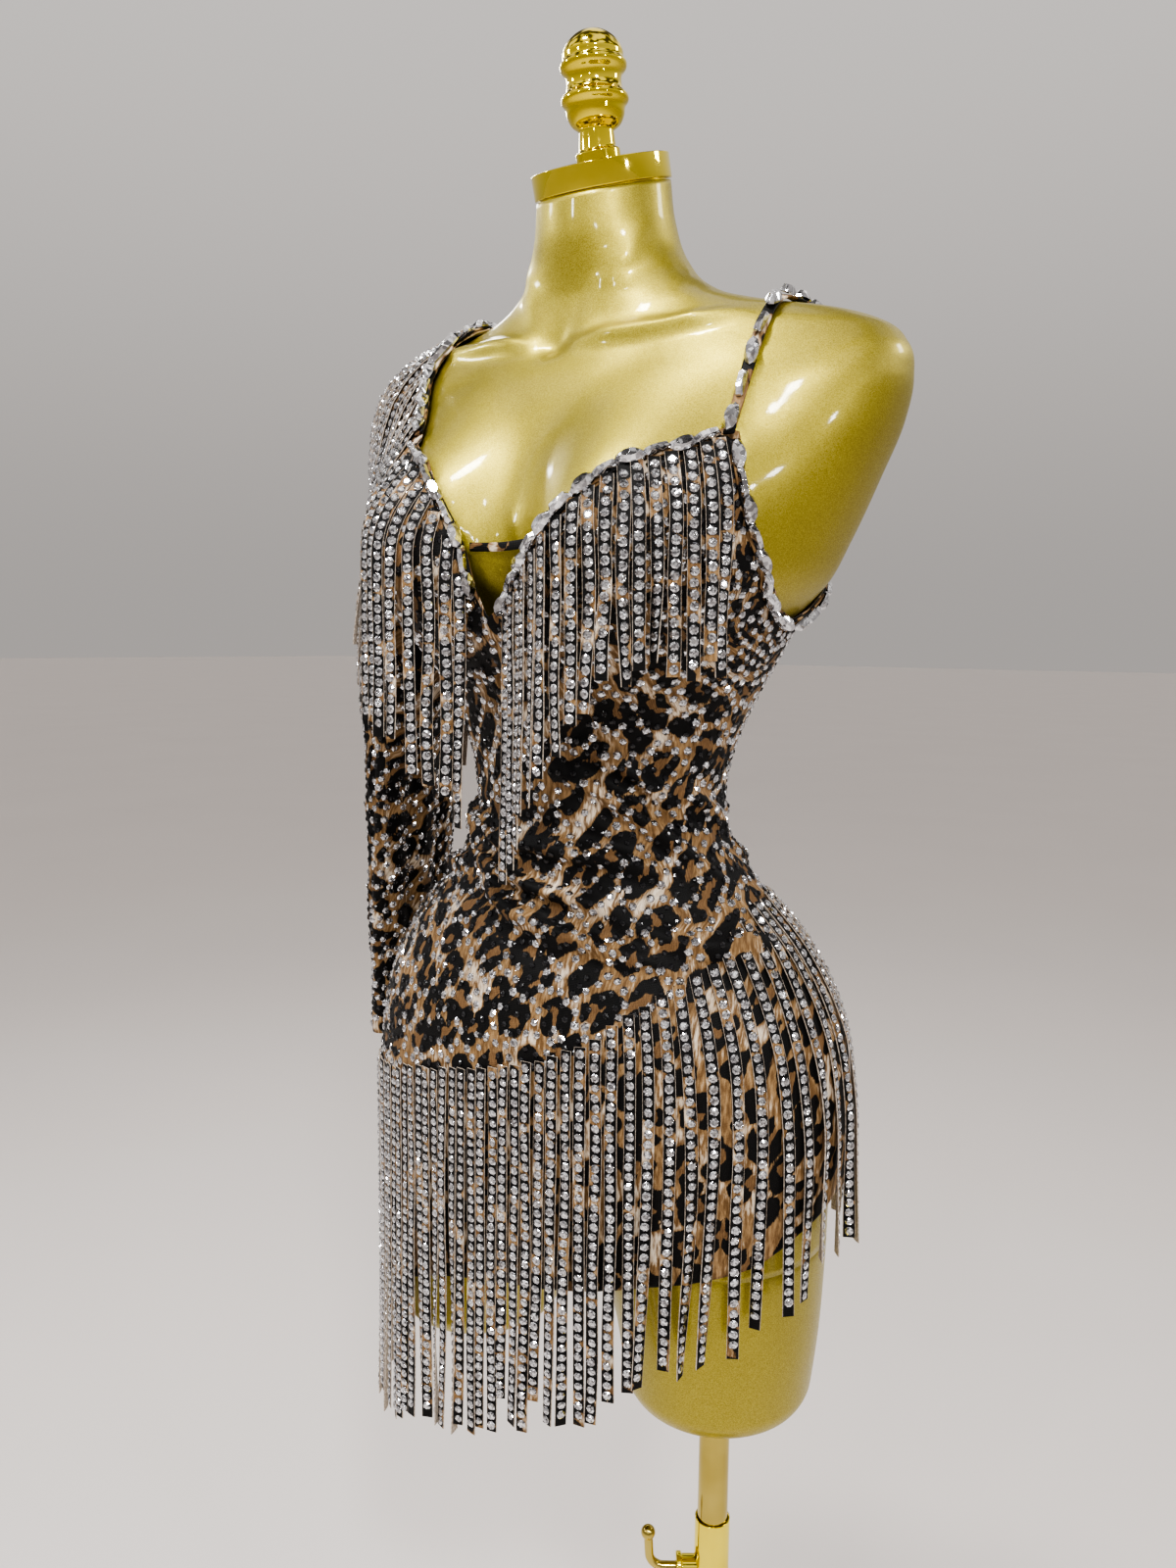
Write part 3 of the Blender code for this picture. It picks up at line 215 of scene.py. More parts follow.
def surface(angle, z):
    """A point of the form's surface at an angle in radians and a height."""
    angle, z = np.broadcast_arrays(np.asarray(angle, float), np.asarray(z, float))
    half, front, back, widest, square = (along(SECTIONS, k, z) for k in range(1, 6))
    c, s = np.cos(angle), np.sin(angle)
    x = half * np.sign(c) * np.abs(c) ** (2 / square)
    y = widest + np.where(s < 0, widest - front, back - widest) * np.sign(s) * np.abs(s) ** (2 / square)
    for side in (-1, 1):
        high = (z - BUST["z"]) * np.where(z > BUST["z"], 0.8, 1.12)
        d = np.hypot(x - side * BUST["x"], high) / BUST["reach"]
        y = y - BUST["height"] * np.sqrt(np.clip(-s, 0, 1)) * raised(d / 1.35)
        d = np.hypot(x - side * SEAT["x"], z - SEAT["z"]) / SEAT["reach"]
        y = y + SEAT["height"] * np.sqrt(np.clip(s, 0, 1)) * raised(d / 1.3)
    share = np.clip((z - 1.46) / (NECK_Z - 1.46), 0, 1)
    share = share * share * (3 - 2 * share)
    return np.stack([x + FORM_X, y, z + share * NECK_SLOPE * (y - widest)], -1)



def body(angle, z, out=0.0):
    """The same, moved out along the surface's own normal."""
    angle, z = np.broadcast_arrays(np.asarray(angle, float), np.asarray(z, float))
    here = surface(angle, z)
    normal = np.cross(
        surface(angle + 0.004, z) - surface(angle - 0.004, z), surface(angle, z + 0.001) - surface(angle, z - 0.001)
    )
    normal /= np.maximum(np.linalg.norm(normal, axis=-1, keepdims=True), 1e-12)
    return here + normal * np.asarray(out, float)[..., None]



def covered(angle, z):
    """1 where the dress lies over the form, fading to 0 at the dress's upper edge."""
    degrees = (np.degrees(angle) + 180.0) % 360.0 - 180.0
    top = np.where(degrees <= 0, straight(TOP_EDGE_FRONT, 1, degrees), straight(TOP_EDGE_BACK, 1, degrees))
    wrapped = np.where(degrees > 90, degrees - 360.0, degrees)
    over = (wrapped <= -112.0) & (wrapped >= -238.0)
    top = np.where(over, straight(SHOULDER_EDGE, 1, wrapped), top)
    share = np.clip((top - z) / 0.015, 0, 1)
    return share * share * (3 - 2 * share)



def dress(angle, z, out):
    """The dress's surface: the form's, with the hollow between the cups bridged."""
    p = body(angle, z, out)
    x = p[..., 0] - FORM_X
    fill = CLEAVAGE_FILL["height"] * np.exp(
        -((x / CLEAVAGE_FILL["x"]) ** 2) - ((p[..., 2] - CLEAVAGE_FILL["z"]) / CLEAVAGE_FILL["zr"]) ** 2
    )
    p[..., 1] -= fill * np.clip(-np.sin(angle), 0, 1)
    return p



def thigh_at(angle, z, side, inset=0.0):
    half, depth, cx, cy = (along(THIGHS, k, z) for k in range(1, 5))
    return np.stack(
        [
            FORM_X + side * cx + (half - inset) * np.cos(angle),
            cy + (depth - inset) * np.sin(angle),
            np.broadcast_to(z, np.shape(angle)) + 0.0 * angle,
        ],
        -1,
    )



def hips(angle, z, inset=0.0):
    """The form's section near the crotch, where an oval turns into two thighs with a web between them."""
    oval = body(angle, z, -inset)
    half, depth, cx, cy = (float(along(THIGHS, k, z)) for k in range(1, 5))
    half, depth = half - inset, depth - inset
    ux, uy = np.abs(np.cos(angle)), np.sin(angle)
    qa = (ux / half) ** 2 + (uy / depth) ** 2
    qb = -2 * ux * cx / half**2
    qc = (cx / half) ** 2 - 1
    root = qb * qb - 4 * qa * qc
    thigh = np.where(root > 0, (-qb + np.sqrt(np.maximum(root, 0))) / (2 * qa), 0)
    web = 0.030 + 0.065 * np.clip((z - CROTCH_Z) / 0.05, 0, 1) - min(inset, 0.010)
    centre = 1 / np.sqrt((ux / cx) ** 2 + (uy / web) ** 2)
    reach = np.maximum(thigh, centre)
    two = np.stack([FORM_X + reach * np.cos(angle), cy + reach * uy, np.full_like(angle, z)], -1)
    share = np.clip((0.905 - z) / 0.045, 0, 1)
    share = share * share * (3 - 2 * share)
    return oval * (1 - share) + two * share

slope = math.atan(NECK_SLOPE)
CAP_CENTRE = np.array([FORM_X, -0.001, NECK_Z])
CAP_R, CAP_T = 0.0468, 0.0165
SCREW_R = 0.0034
# The handle's middle line in the clamp's own frame: distance from the pole, height.
HANDLE = [(0.0113, 0.0), (0.034, 0.0), (0.0385, 0.0008), (0.0420, 0.0030), (0.0442, 0.0062), (0.0452, 0.0100), (0.0460, 0.0235)]
SEAM = math.radians(0.08)
SKIN = CLOTH_GAP + CLOTH


def row_heights(levels, low, top):
    """A column's heights: level rows in the middle, gathered or spread towards its own hem and top edge."""
    levels = np.array(levels)
    first, last = FIXED_LEVELS
    z = levels.copy()
    under, over = levels < first, levels > last
    z[under] = low + (levels[under] - levels[0]) * (first - low) / (first - levels[0])
    z[over] = last + (levels[over] - last) * (top - last) / (levels[-1] - last)
    return z



def inset(edge, degrees, distance):
    """Points a distance inside a panel's edge, measured on the cloth, as (degrees, z) pairs."""
    degrees = np.asarray(degrees, float)
    step = 0.6
    here = dress(np.radians(degrees), straight(edge, 1, degrees), SKIN)
    ahead = dress(np.radians(degrees + step), straight(edge, 1, degrees + step), SKIN)
    behind = dress(np.radians(degrees - step), straight(edge, 1, degrees - step), SKIN)
    around_it = dress(np.radians(degrees + step), straight(edge, 1, degrees), SKIN) - here
    along_it = ahead - behind
    width = np.hypot(around_it[:, 0], around_it[:, 1]) / step  # metres per degree
    run = np.hypot(along_it[:, 0], along_it[:, 1])
    rise = along_it[:, 2]
    length = np.hypot(run, rise)
    return degrees + distance * rise / length / width, straight(edge, 1, degrees) - distance * run / length



def spread(first, last, count):
    return np.linspace(first, last, count)



def yoke_column(index, out):
    top, low = pointed(SHOULDER_EDGE, index), pointed(YOKE_LOW, index)
    share = np.array(YOKE_LEVELS)
    angle = low[0] + (top[0] - low[0]) * share
    z = low[1] + (top[1] - low[1]) * share
    return body(np.radians(angle), z, out)



def yoke_line(index, out, skip):
    """A line down the yoke that starts a distance in from its neck-side edge."""
    line = yoke_column(index, out)
    length = np.concatenate([[0], np.cumsum(np.linalg.norm(np.diff(line, axis=0), axis=1))])
    at = np.concatenate([[skip], length[length > skip + 0.001]])
    return np.stack([np.interp(at, length, line[:, k]) for k in range(3)], -1)

POLAR = np.linspace(-math.pi, math.pi, 361)
FINE_Z = np.arange(0.60, 1.470, 0.005)


def reach_table():
    """Reach of the dressed form from the upright line through FORM_X, by height and direction."""
    fine_a = np.linspace(-math.pi, math.pi, 541)
    levels = np.arange(0.70, 1.4701, 0.005)
    p = dress(fine_a[:, None], levels[None, :], SKIN)
    rows = []
    for z in FINE_Z:
        x = np.array([np.interp(max(z, 0.705), np.maximum.accumulate(c[:, 2]), c[:, 0]) for c in p]) - FORM_X
        y = np.array([np.interp(max(z, 0.705), np.maximum.accumulate(c[:, 2]), c[:, 1]) for c in p])
        direction = np.arctan2(y, x)
        order = np.argsort(direction)
        rows.append(np.interp(POLAR, direction[order], np.hypot(x, y)[order], period=2 * math.pi))
    return np.array(rows)

REACH = reach_table()


def reach_at(direction, z):
    direction = (direction + math.pi) % (2 * math.pi) - math.pi
    u = (direction + math.pi) / (2 * math.pi) * 360
    v = float(np.clip((z - FINE_Z[0]) / 0.005, 0, len(FINE_Z) - 1.001))
    i, j = int(v), min(int(u), 359)
    fv, fu = v - i, u - j
    low = REACH[i, j] * (1 - fu) + REACH[i, j + 1] * fu
    high = REACH[i + 1, j] * (1 - fu) + REACH[i + 1, j + 1] * fu
    return low * (1 - fv) + high * fv



def kept_out(point, margin):
    """A point moved out, level, until it is a margin clear of the dressed form."""
    dx, dy = point[0] - FORM_X, point[1]
    r = math.hypot(dx, dy)
    need = reach_at(math.atan2(dy, dx), point[2]) + margin
    if r < need:
        return np.array([FORM_X + dx * need / r, dy * need / r, point[2]])
    return np.array(point)



def sleeve_ring(mark, z, out):
    """The hanging sleeve's lower section: mark 0 is its front fold, 0.5 its outer face, 1 its back fold, then inside."""
    angle = math.radians(-62.0 - 236.0 * mark) if mark <= 1 else math.radians(-298.0 - 124.0 * (mark - 1))
    cx, cy, hx, hy = (float(along(SLEEVE, k, z)) for k in range(1, 5))
    return np.array([FORM_X + cx + (hx + out) * math.cos(angle), cy + (hy + out) * math.sin(angle), z])

SLEEVE_ROWS = np.array([0.0, 0.022, 0.052, 0.095, 0.150, 0.220, 0.305, 0.410, 0.530, 0.670, 0.830, 1.0])
ARMHOLE = [(-228.0, 1.3560), (-221.5, 1.336), (-214.0, 1.309), (-203.5, 1.281), (-190.5, 1.265), (-180.0, 1.2595),
           (-169.5, 1.265), (-156.5, 1.281), (-146.0, 1.309), (-138.5, 1.336), (-132.0, 1.362)]


def sleeve_column(mark, out, rows=SLEEVE_ROWS):
    """One line down the sleeve: from the yoke's edge on its outer side (mark 0 to 1), else from the armhole."""
    if mark <= 1:
        degrees, z0 = pointed(YOKE_LOW, ARM_FIRST + (ARM_LAST - ARM_FIRST) * mark)
        z0 -= 0.0009
        start = body(math.radians(degrees), z0, CLOTH_GAP + out)
        margin, grow, end = 0.0010 + out, out, 1.19
    else:
        degrees, z0 = pointed(ARMHOLE, (len(ARMHOLE) - 1) * (mark - 1))
        start = body(math.radians(degrees), z0, SKIN + 0.0018 + CLOTH - out)
        margin, grow, end = 0.0018 + CLOTH - out, out, 1.15
    line = []
    for share in rows:
        z = z0 + (CUFF_Z - z0) * share
        s = min(1.0, (z0 - z) / max(z0 - end, 0.08))
        s = s * s * (3 - 2 * s)
        point = start * (1 - s) + sleeve_ring(mark, z, grow) * s
        point[2] = z
        line.append(kept_out(point, margin) if share > 0 else point)
    return np.array(line)

STRAP_X, STRAP_HALF, STRAP_T = FORM_X + 0.1365, 0.0046, 0.0020


def strap_edge(side, lift):
    """One edge of the strap: the shortest line over the shoulder from the front panel to the back panel."""
    front = dress(math.radians(-50.0), 1.3685, SKIN + 0.0016)
    back = dress(math.radians(43.0), 1.3060, SKIN + 0.0024)
    points = [(front[1], front[2]), (back[1], back[2])]
    for z in np.arange(1.31, 1.4605, 0.003):
        half, ahead, behind, widest, square = (float(along(SECTIONS, k, z)) for k in range(1, 6))
        for end, reach in ((front, ahead - widest), (back, behind - widest)):
            x = end[0] + (STRAP_X - end[0]) * min(1.0, (z - end[2]) / (1.455 - end[2])) + side * STRAP_HALF - FORM_X
            if z > end[2] + 0.004 and abs(x) < half:
                y = widest + reach * (1 - (abs(x) / half) ** square) ** (1 / square)
                points.append((y + math.copysign(0.0012, reach), z + 0.0019))
    # The taut line is the upper side of the hull of these points.
    lower_first = sorted(points)
    taut = []
    for p in lower_first:
        while len(taut) > 1 and (taut[-1][0] - taut[-2][0]) * (p[1] - taut[-2][1]) - (taut[-1][1] - taut[-2][1]) * (p[0] - taut[-2][0]) >= 0:
            taut.pop()
        taut.append(p)
    tail = [p for p in points if p[0] > back[1] - 0.02 and p[1] <= taut[-1][1]] if taut[-1] != (back[1], back[2]) else []
    low = (back[1], back[2])
    while tail and taut[-1] != low:
        here = taut[-1]
        rest = [p for p in tail if p[1] < here[1] - 1e-9]
        if not rest:
            break
        taut.append(max(rest, key=lambda p: (p[0] - here[0]) / (here[1] - p[1])))
    taut = np.array(taut)
    length = np.concatenate([[0], np.cumsum(np.linalg.norm(np.diff(taut, axis=0), axis=1))])
    at = np.linspace(0, length[-1], 28)
    line = np.stack([np.interp(at, length, taut[:, k]) for k in (0, 1)], -1)
    heading = np.gradient(line, axis=0)
    heading /= np.linalg.norm(heading, axis=1)[:, None]
    end_x = np.where(line[:, 0] < 0.02, front[0], back[0])
    end_z = np.where(line[:, 0] < 0.02, front[2], back[2])
    x = end_x + (STRAP_X - end_x) * np.clip((line[:, 1] - end_z) / (1.455 - end_z), 0, 1) + side * STRAP_HALF
    return np.stack([x, line[:, 0] - heading[:, 1] * lift, line[:, 1] + heading[:, 0] * lift], -1)

BELOW_BAND = BAND + 0.0024

# ---------------------------------------------------------------- meshes and materials


def rng(seed):
    return np.random.default_rng(seed)


def make_mesh(name, verts, polys, smooth=True, attributes=None, material_index=None):
    """A mesh from arrays: polys is a list of (n, k) index arrays with k corners each."""
    verts = np.ascontiguousarray(verts, dtype=np.float32)
    polys = [np.asarray(p, dtype=np.int32) for p in polys if len(p)]
    loops = np.concatenate([p.ravel() for p in polys])
    totals = np.concatenate([np.full(len(p), p.shape[1], dtype=np.int32) for p in polys])
    starts = np.concatenate([[0], np.cumsum(totals)[:-1]]).astype(np.int32)
    mesh = bpy.data.meshes.new(name)
    mesh.vertices.add(len(verts))
    mesh.vertices.foreach_set("co", verts.ravel())
    mesh.loops.add(len(loops))
    mesh.loops.foreach_set("vertex_index", loops)
    mesh.polygons.add(len(totals))
    mesh.polygons.foreach_set("loop_start", starts)
    if material_index is not None:
        mesh.polygons.foreach_set("material_index", np.asarray(material_index, dtype=np.int32))
    mesh.update(calc_edges=True)
    mesh.validate()
    mesh.polygons.foreach_set("use_smooth", np.full(len(mesh.polygons), bool(smooth)))
    for key, values in (attributes or {}).items():
        values = np.asarray(values, dtype=np.float32)
        if values.ndim == 1:
            mesh.attributes.new(key, "FLOAT", "POINT").data.foreach_set("value", values)
        else:
            mesh.attributes.new(key, "FLOAT_VECTOR", "POINT").data.foreach_set("vector", values.ravel())
    made = bpy.data.objects.new(name, mesh)
    bpy.context.scene.collection.objects.link(made)
    return made


def grid_faces(m, n, closed=False, start=0):
    """Quads of an m by n grid of points, wound so that columns by rows point outwards."""
    i = np.arange(m if closed else m - 1)[:, None]
    j = np.arange(n - 1)[None, :]
    a = (i % m) * n + j
    b = ((i + 1) % m) * n + j
    return (np.stack([a, b, b + 1, a + 1], -1).reshape(-1, 4) + start).astype(np.int32)


def normals_of(grid, closed=False):
    """Unit normals of a grid of points, from its neighbours."""
    if closed:
        du = np.roll(grid, -1, axis=0) - np.roll(grid, 1, axis=0)
    else:
        du = np.gradient(grid, axis=0)
    dv = np.gradient(grid, axis=1)
    n = np.cross(du, dv)
    return n / np.maximum(np.linalg.norm(n, axis=-1, keepdims=True), 1e-12)


class Shader:
    """Small helper that lays out a Principled material's nodes."""

    def __init__(self, name):
        self.material = bpy.data.materials.new(name)
        self.material.use_nodes = True
        self.tree = self.material.node_tree
        self.principled = self.tree.nodes["Principled BSDF"]

    def set(self, **values):
        for key, value in values.items():
            self.principled.inputs[key.replace("_", " ")].default_value = value
        return self

    def node(self, kind, **settings):
        made = self.tree.nodes.new(kind)
        for key, value in settings.items():
            if key.startswith("in_"):
                made.inputs[key[3:].replace("_", " ")].default_value = value
            else:
                setattr(made, key, value)
        return made

    def link(self, a, b):
        self.tree.links.new(a, b)

    def attribute(self, name, vector=False):
        made = self.node("ShaderNodeAttribute", attribute_name=name)
        return made.outputs["Vector" if vector else "Fac"]

    def math(self, operation, a, b=None, c=None, clamp=False):
        made = self.node("ShaderNodeMath", operation=operation, use_clamp=clamp)
        for k, value in enumerate((a, b, c)):
            if value is None:
                continue
            if isinstance(value, (int, float)):
                made.inputs[k].default_value = value
            else:
                self.link(value, made.inputs[k])
        return made.outputs[0]

    def ramp(self, value, low, high, out_low=0.0, out_high=1.0, smooth=True):
        made = self.node("ShaderNodeMapRange", interpolation_type="SMOOTHSTEP" if smooth else "LINEAR")
        made.inputs[1].default_value, made.inputs[2].default_value = low, high
        made.inputs[3].default_value, made.inputs[4].default_value = out_low, out_high
        self.link(value, made.inputs[0])
        return made.outputs[0]

    def mix(self, factor, a, b):
        made = self.node("ShaderNodeMix", data_type="RGBA")
        if isinstance(factor, (int, float)):
            made.inputs[0].default_value = factor
        else:
            self.link(factor, made.inputs[0])
        for socket, value in ((made.inputs[6], a), (made.inputs[7], b)):
            if isinstance(value, tuple):
                socket.default_value = (*value, 1.0)
            else:
                self.link(value, socket)
        return made.outputs[2]

    def noise(self, vector, scale, detail=2.0, rough=0.5, distortion=0.0):
        made = self.node("ShaderNodeTexNoise")
        made.inputs["Scale"].default_value = scale
        made.inputs["Detail"].default_value = detail
        made.inputs["Roughness"].default_value = rough
        made.inputs["Distortion"].default_value = distortion
        if vector is not None:
            self.link(vector, made.inputs["Vector"])
        return made.outputs["Fac"]

    def voronoi(self, vector, scale, feature="F1", randomness=1.0):
        made = self.node("ShaderNodeTexVoronoi", feature=feature)
        made.inputs["Scale"].default_value = scale
        made.inputs["Randomness"].default_value = randomness
        if vector is not None:
            self.link(vector, made.inputs["Vector"])
        return made

    def mapping(self, vector, scale=(1, 1, 1), turn=0.0, move=(0, 0, 0)):
        made = self.node("ShaderNodeMapping")
        made.inputs["Scale"].default_value = scale
        made.inputs["Rotation"].default_value = (0, 0, turn)
        made.inputs["Location"].default_value = move
        self.link(vector, made.inputs["Vector"])
        return made.outputs[0]

    def bump(self, height, distance, strength=1.0, normal=None):
        made = self.node("ShaderNodeBump")
        made.inputs["Distance"].default_value = distance
        made.inputs["Strength"].default_value = strength
        self.link(height, made.inputs["Height"])
        if normal is not None:
            self.link(normal, made.inputs["Normal"])
        return made.outputs[0]

    def to(self, output, socket):
        self.link(output, self.principled.inputs[socket])
        return self


def leopard_material(name, ribbon=False):
    """Printed stretch knit: black broken rings and spots on rust-brown fur, with pale cream patches that are partly the
    print's own fur colour and partly painted satin sheen.
    """
    s = Shader(name)
    pat = s.attribute("pat", vector=True)
    spot = s.attribute("spot")
    core = s.attribute("core")
    hairs = s.noise(s.mapping(pat, (1500, 210, 1), 0.42), 1.0, 3.0, 0.6)
    wisps = s.noise(s.mapping(pat, (420, 95, 1), 0.42), 1.0, 3.0, 0.55)
    patches = s.noise(s.mapping(pat, (34, 22, 1), 0.3), 1.0, 2.0, 0.5)
    ragged = s.math("MULTIPLY_ADD", s.math("SUBTRACT", hairs, 0.5), 3.4, spot)
    black = s.ramp(ragged, 0.35, -0.35)
    halo = s.ramp(s.math("MULTIPLY_ADD", s.math("SUBTRACT", wisps, 0.5), 7.0, spot), 0.2, 4.2)
    inside = s.ramp(s.math("MULTIPLY_ADD", s.math("SUBTRACT", wisps, 0.5), 3.0, core), -0.5, 1.8)
    ground = s.mix(s.ramp(wisps, 0.36, 0.66), (0.128, 0.068, 0.026), (0.315, 0.196, 0.092))
    # The cream colour is partly the print's own fur colour and partly painted satin sheen; pale sets where it shows, in
    # noise patches away from the black shapes.
    cream_and_sheen = s.mix(s.ramp(hairs, 0.3, 0.7), (0.52, 0.40, 0.28), (0.84, 0.74, 0.60))
    pale = s.math("MULTIPLY", s.ramp(s.math("MULTIPLY_ADD", s.math("SUBTRACT", wisps, 0.5), 0.55, patches), 0.50, 0.66), halo)
    ground = s.mix(pale, ground, cream_and_sheen)
    centre = s.mix(s.ramp(hairs, 0.3, 0.75), (0.094, 0.048, 0.020), (0.205, 0.116, 0.050))
    ground = s.mix(inside, ground, centre)
    ink = s.mix(s.ramp(hairs, 0.45, 0.8), (0.0015, 0.0014, 0.0016), (0.006, 0.005, 0.0045))
    s.to(s.mix(black, ground, ink), "Base Color")
    s.set(Sheen_Weight=0.02, Sheen_Roughness=0.4, Specular_IOR_Level=0.16)
    s.to(s.ramp(hairs, 0.2, 0.8, 0.50, 0.68), "Roughness")
    knit = s.node("ShaderNodeTexWave", wave_type="BANDS", bands_direction="X")
    knit.inputs["Scale"].default_value = 1.0
    knit.inputs["Distortion"].default_value = 0.6
    knit.inputs["Detail"].default_value = 1.0
    s.link(s.mapping(pat, (240, 240, 1)), knit.inputs["Vector"])
    rows = s.node("ShaderNodeTexWave", wave_type="BANDS", bands_direction="Y")
    rows.inputs["Scale"].default_value = 1.0
    rows.inputs["Distortion"].default_value = 0.6
    s.link(s.mapping(pat, (200, 200, 1)), rows.inputs["Vector"])
    weave = s.math("MULTIPLY", knit.outputs["Fac"], rows.outputs["Fac"])
    slack = s.noise(s.mapping(pat, (60, 45, 1), -0.5), 1.0, 2.0)
    first = s.bump(weave, 0.00018, 0.7)
    s.to(s.bump(slack, 0.0012, 0.35 if ribbon else 0.5, first), "Normal")
    return s.material


def cut_edge_material():
    """The pale raw edge and wrong side of the print's ribbons."""
    s = Shader("cut_edge")
    pat = s.attribute("pat", vector=True)
    fray = s.noise(s.mapping(pat, (900, 500, 1)), 1.0, 3.0)
    s.to(s.mix(s.ramp(fray, 0.3, 0.7), (0.22, 0.17, 0.13), (0.52, 0.45, 0.38)), "Base Color")
    s.set(Roughness=0.85, Sheen_Weight=0.15)
    s.to(s.bump(fray, 0.0003, 0.6), "Normal")
    return s.material


def lining_material():
    """The wrong side of the print, where the dye shows through faintly."""
    s = Shader("wrong_side")
    pat = s.attribute("pat", vector=True)
    spot = s.attribute("spot")
    shade = s.ramp(spot, -1.5, 2.0)
    grain = s.noise(s.mapping(pat, (700, 700, 1)), 1.0, 2.0)
    s.to(s.mix(shade, (0.13, 0.11, 0.10), (0.48, 0.40, 0.33)), "Base Color")
    s.to(s.ramp(grain, 0.3, 0.7, 0.75, 0.9), "Roughness")
    s.to(s.bump(grain, 0.0003, 0.5), "Normal")
    return s.material


def crystal_material(name, cell, low, depth):
    """Clear cut glass with a silver foil back; each small cell is tinted from dark grey to near white, painted
    reflections standing in for the glints and dark facets inside the stone.
    """
    s = Shader(name)
    texture = s.node("ShaderNodeTexCoord")
    cells = s.voronoi(texture.outputs["Object"], cell)
    each = s.node("ShaderNodeSeparateColor")
    s.link(cells.outputs["Color"], each.inputs[0])
    # Dark to bright cells: painted reflections of the glints and dark facets inside the stone.
    facet_glint_tint = s.mix(s.ramp(each.outputs[0], 0.0, 1.0), low, (0.93, 0.94, 0.97))
    s.to(facet_glint_tint, "Base Color")
    s.to(s.ramp(each.outputs[1], 0.0, 1.0, 0.03, 0.16), "Roughness")
    s.set(Metallic=1.0, Coat_Weight=1.0, Coat_Roughness=0.02, Coat_IOR=1.55)
    lift = s.bump(each.outputs[2], depth, 0.85)
    s.to(lift, "Normal")
    return s.material


def jet_material():
    """Black cut glass."""
    s = Shader("jet")
    texture = s.node("ShaderNodeTexCoord")
    smudge = s.noise(texture.outputs["Object"], 400.0, 2.0)
    s.to(s.mix(s.ramp(smudge, 0.3, 0.7), (0.003, 0.003, 0.004), (0.010, 0.010, 0.012)), "Base Color")
    s.to(s.ramp(smudge, 0.2, 0.8, 0.10, 0.22), "Roughness")
    s.set(Specular_IOR_Level=0.3, Coat_Weight=0.25, Coat_Roughness=0.06)
    return s.material


def gold_paint_material():
    """Olive-gold metallic paint: fine flake under clear gloss, a little uneven."""
    s = Shader("gold_paint")
    texture = s.node("ShaderNodeTexCoord")
    where = texture.outputs["Object"]
    flake = s.voronoi(where, 2600.0)
    each = s.node("ShaderNodeSeparateColor")
    s.link(flake.outputs["Color"], each.inputs[0])
    cloud = s.noise(where, 9.0, 3.0)
    base = s.mix(s.ramp(each.outputs[0], 0.0, 1.0), (0.275, 0.222, 0.024), (0.455, 0.385, 0.062))
    s.to(s.mix(s.math("MULTIPLY", s.ramp(cloud, 0.35, 0.75), 0.25), base, (0.245, 0.198, 0.022)), "Base Color")
    s.to(s.ramp(each.outputs[1], 0.0, 1.0, 0.36, 0.50), "Roughness")
    s.set(Metallic=0.94, Coat_Weight=0.32, Coat_Roughness=0.07, Coat_IOR=1.5)
    orange_peel = s.noise(where, 160.0, 1.0)
    first = s.bump(each.outputs[2], 0.00016, 0.30)
    s.to(s.bump(orange_peel, 0.0006, 0.10, first), "Normal")
    return s.material


def plated_material(name, low, high, rough=0.06, drawn=False):
    """Polished yellow plating with faint clouding and hairline wear."""
    s = Shader(name)
    texture = s.node("ShaderNodeTexCoord")
    where = texture.outputs["Object"]
    cloud = s.noise(where, 14.0, 3.0)
    lines = s.noise(s.mapping(where, (1400, 1400, 9) if drawn else (260, 260, 260)), 1.0, 2.0)
    s.to(s.mix(s.ramp(cloud, 0.3, 0.7), low, high), "Base Color")
    s.to(s.ramp(lines, 0.25, 0.75, rough * 0.6, rough * 1.9), "Roughness")
    s.set(Metallic=1.0)
    s.to(s.bump(lines, 0.00005, 0.25), "Normal")
    return s.material


LEOPARD = leopard_material("leopard_knit")
RIBBON = leopard_material("leopard_ribbon", ribbon=True)
CUT_EDGE = cut_edge_material()
WRONG_SIDE = lining_material()
# The darker tint given to each stone material is the dark end of its painted facet reflections.
CRYSTAL = crystal_material("crystal", 900.0, (0.22, 0.22, 0.24), 0.0012)
CUT_STONE = crystal_material("cut_stone", 380.0, (0.34, 0.34, 0.36), 0.0010)
JET = jet_material()
GOLD_PAINT = gold_paint_material()
GOLD_PLATE = plated_material("gold_plate", (0.74, 0.58, 0.045), (0.92, 0.77, 0.10), 0.05)
PALE_PLATE = plated_material("pale_plate", (0.34, 0.26, 0.055), (0.52, 0.42, 0.12), 0.10, drawn=True)


def finish_piece(made, materials, body_name="form", replaced=()):
    for m in materials:
        made.data.materials.append(m)
    if replaced:
        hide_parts(*replaced)
    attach(made, body_name)
    return made


# ---------------------------------------------------------------- the print, as a flat field
PITCH, TILE = 0.0300, 14
_r = rng(7)
ROSETTES = {
    "x": _r.uniform(-0.15, 0.15, (TILE, TILE)),
    "y": _r.uniform(-0.15, 0.15, (TILE, TILE)),
    "radius": _r.uniform(0.0072, 0.0092, (TILE, TILE)),
    "half": _r.uniform(0.0041, 0.0056, (TILE, TILE)),
    "long": _r.uniform(0.95, 1.30, (TILE, TILE)),
    "turn": _r.normal(0.35, 0.55, (TILE, TILE)),
    "gap_one": _r.uniform(0, 2 * math.pi, (TILE, TILE)),
    "gap_two": _r.uniform(1.4, 4.2, (TILE, TILE)),
    "wide_one": _r.uniform(0.16, 0.42, (TILE, TILE)),
    "wide_two": _r.uniform(0.05, 0.30, (TILE, TILE)),
    "lobe": _r.uniform(0, 2 * math.pi, (TILE, TILE)),
    "solid": _r.uniform(0, 1, (TILE, TILE)) < 0.22,
}


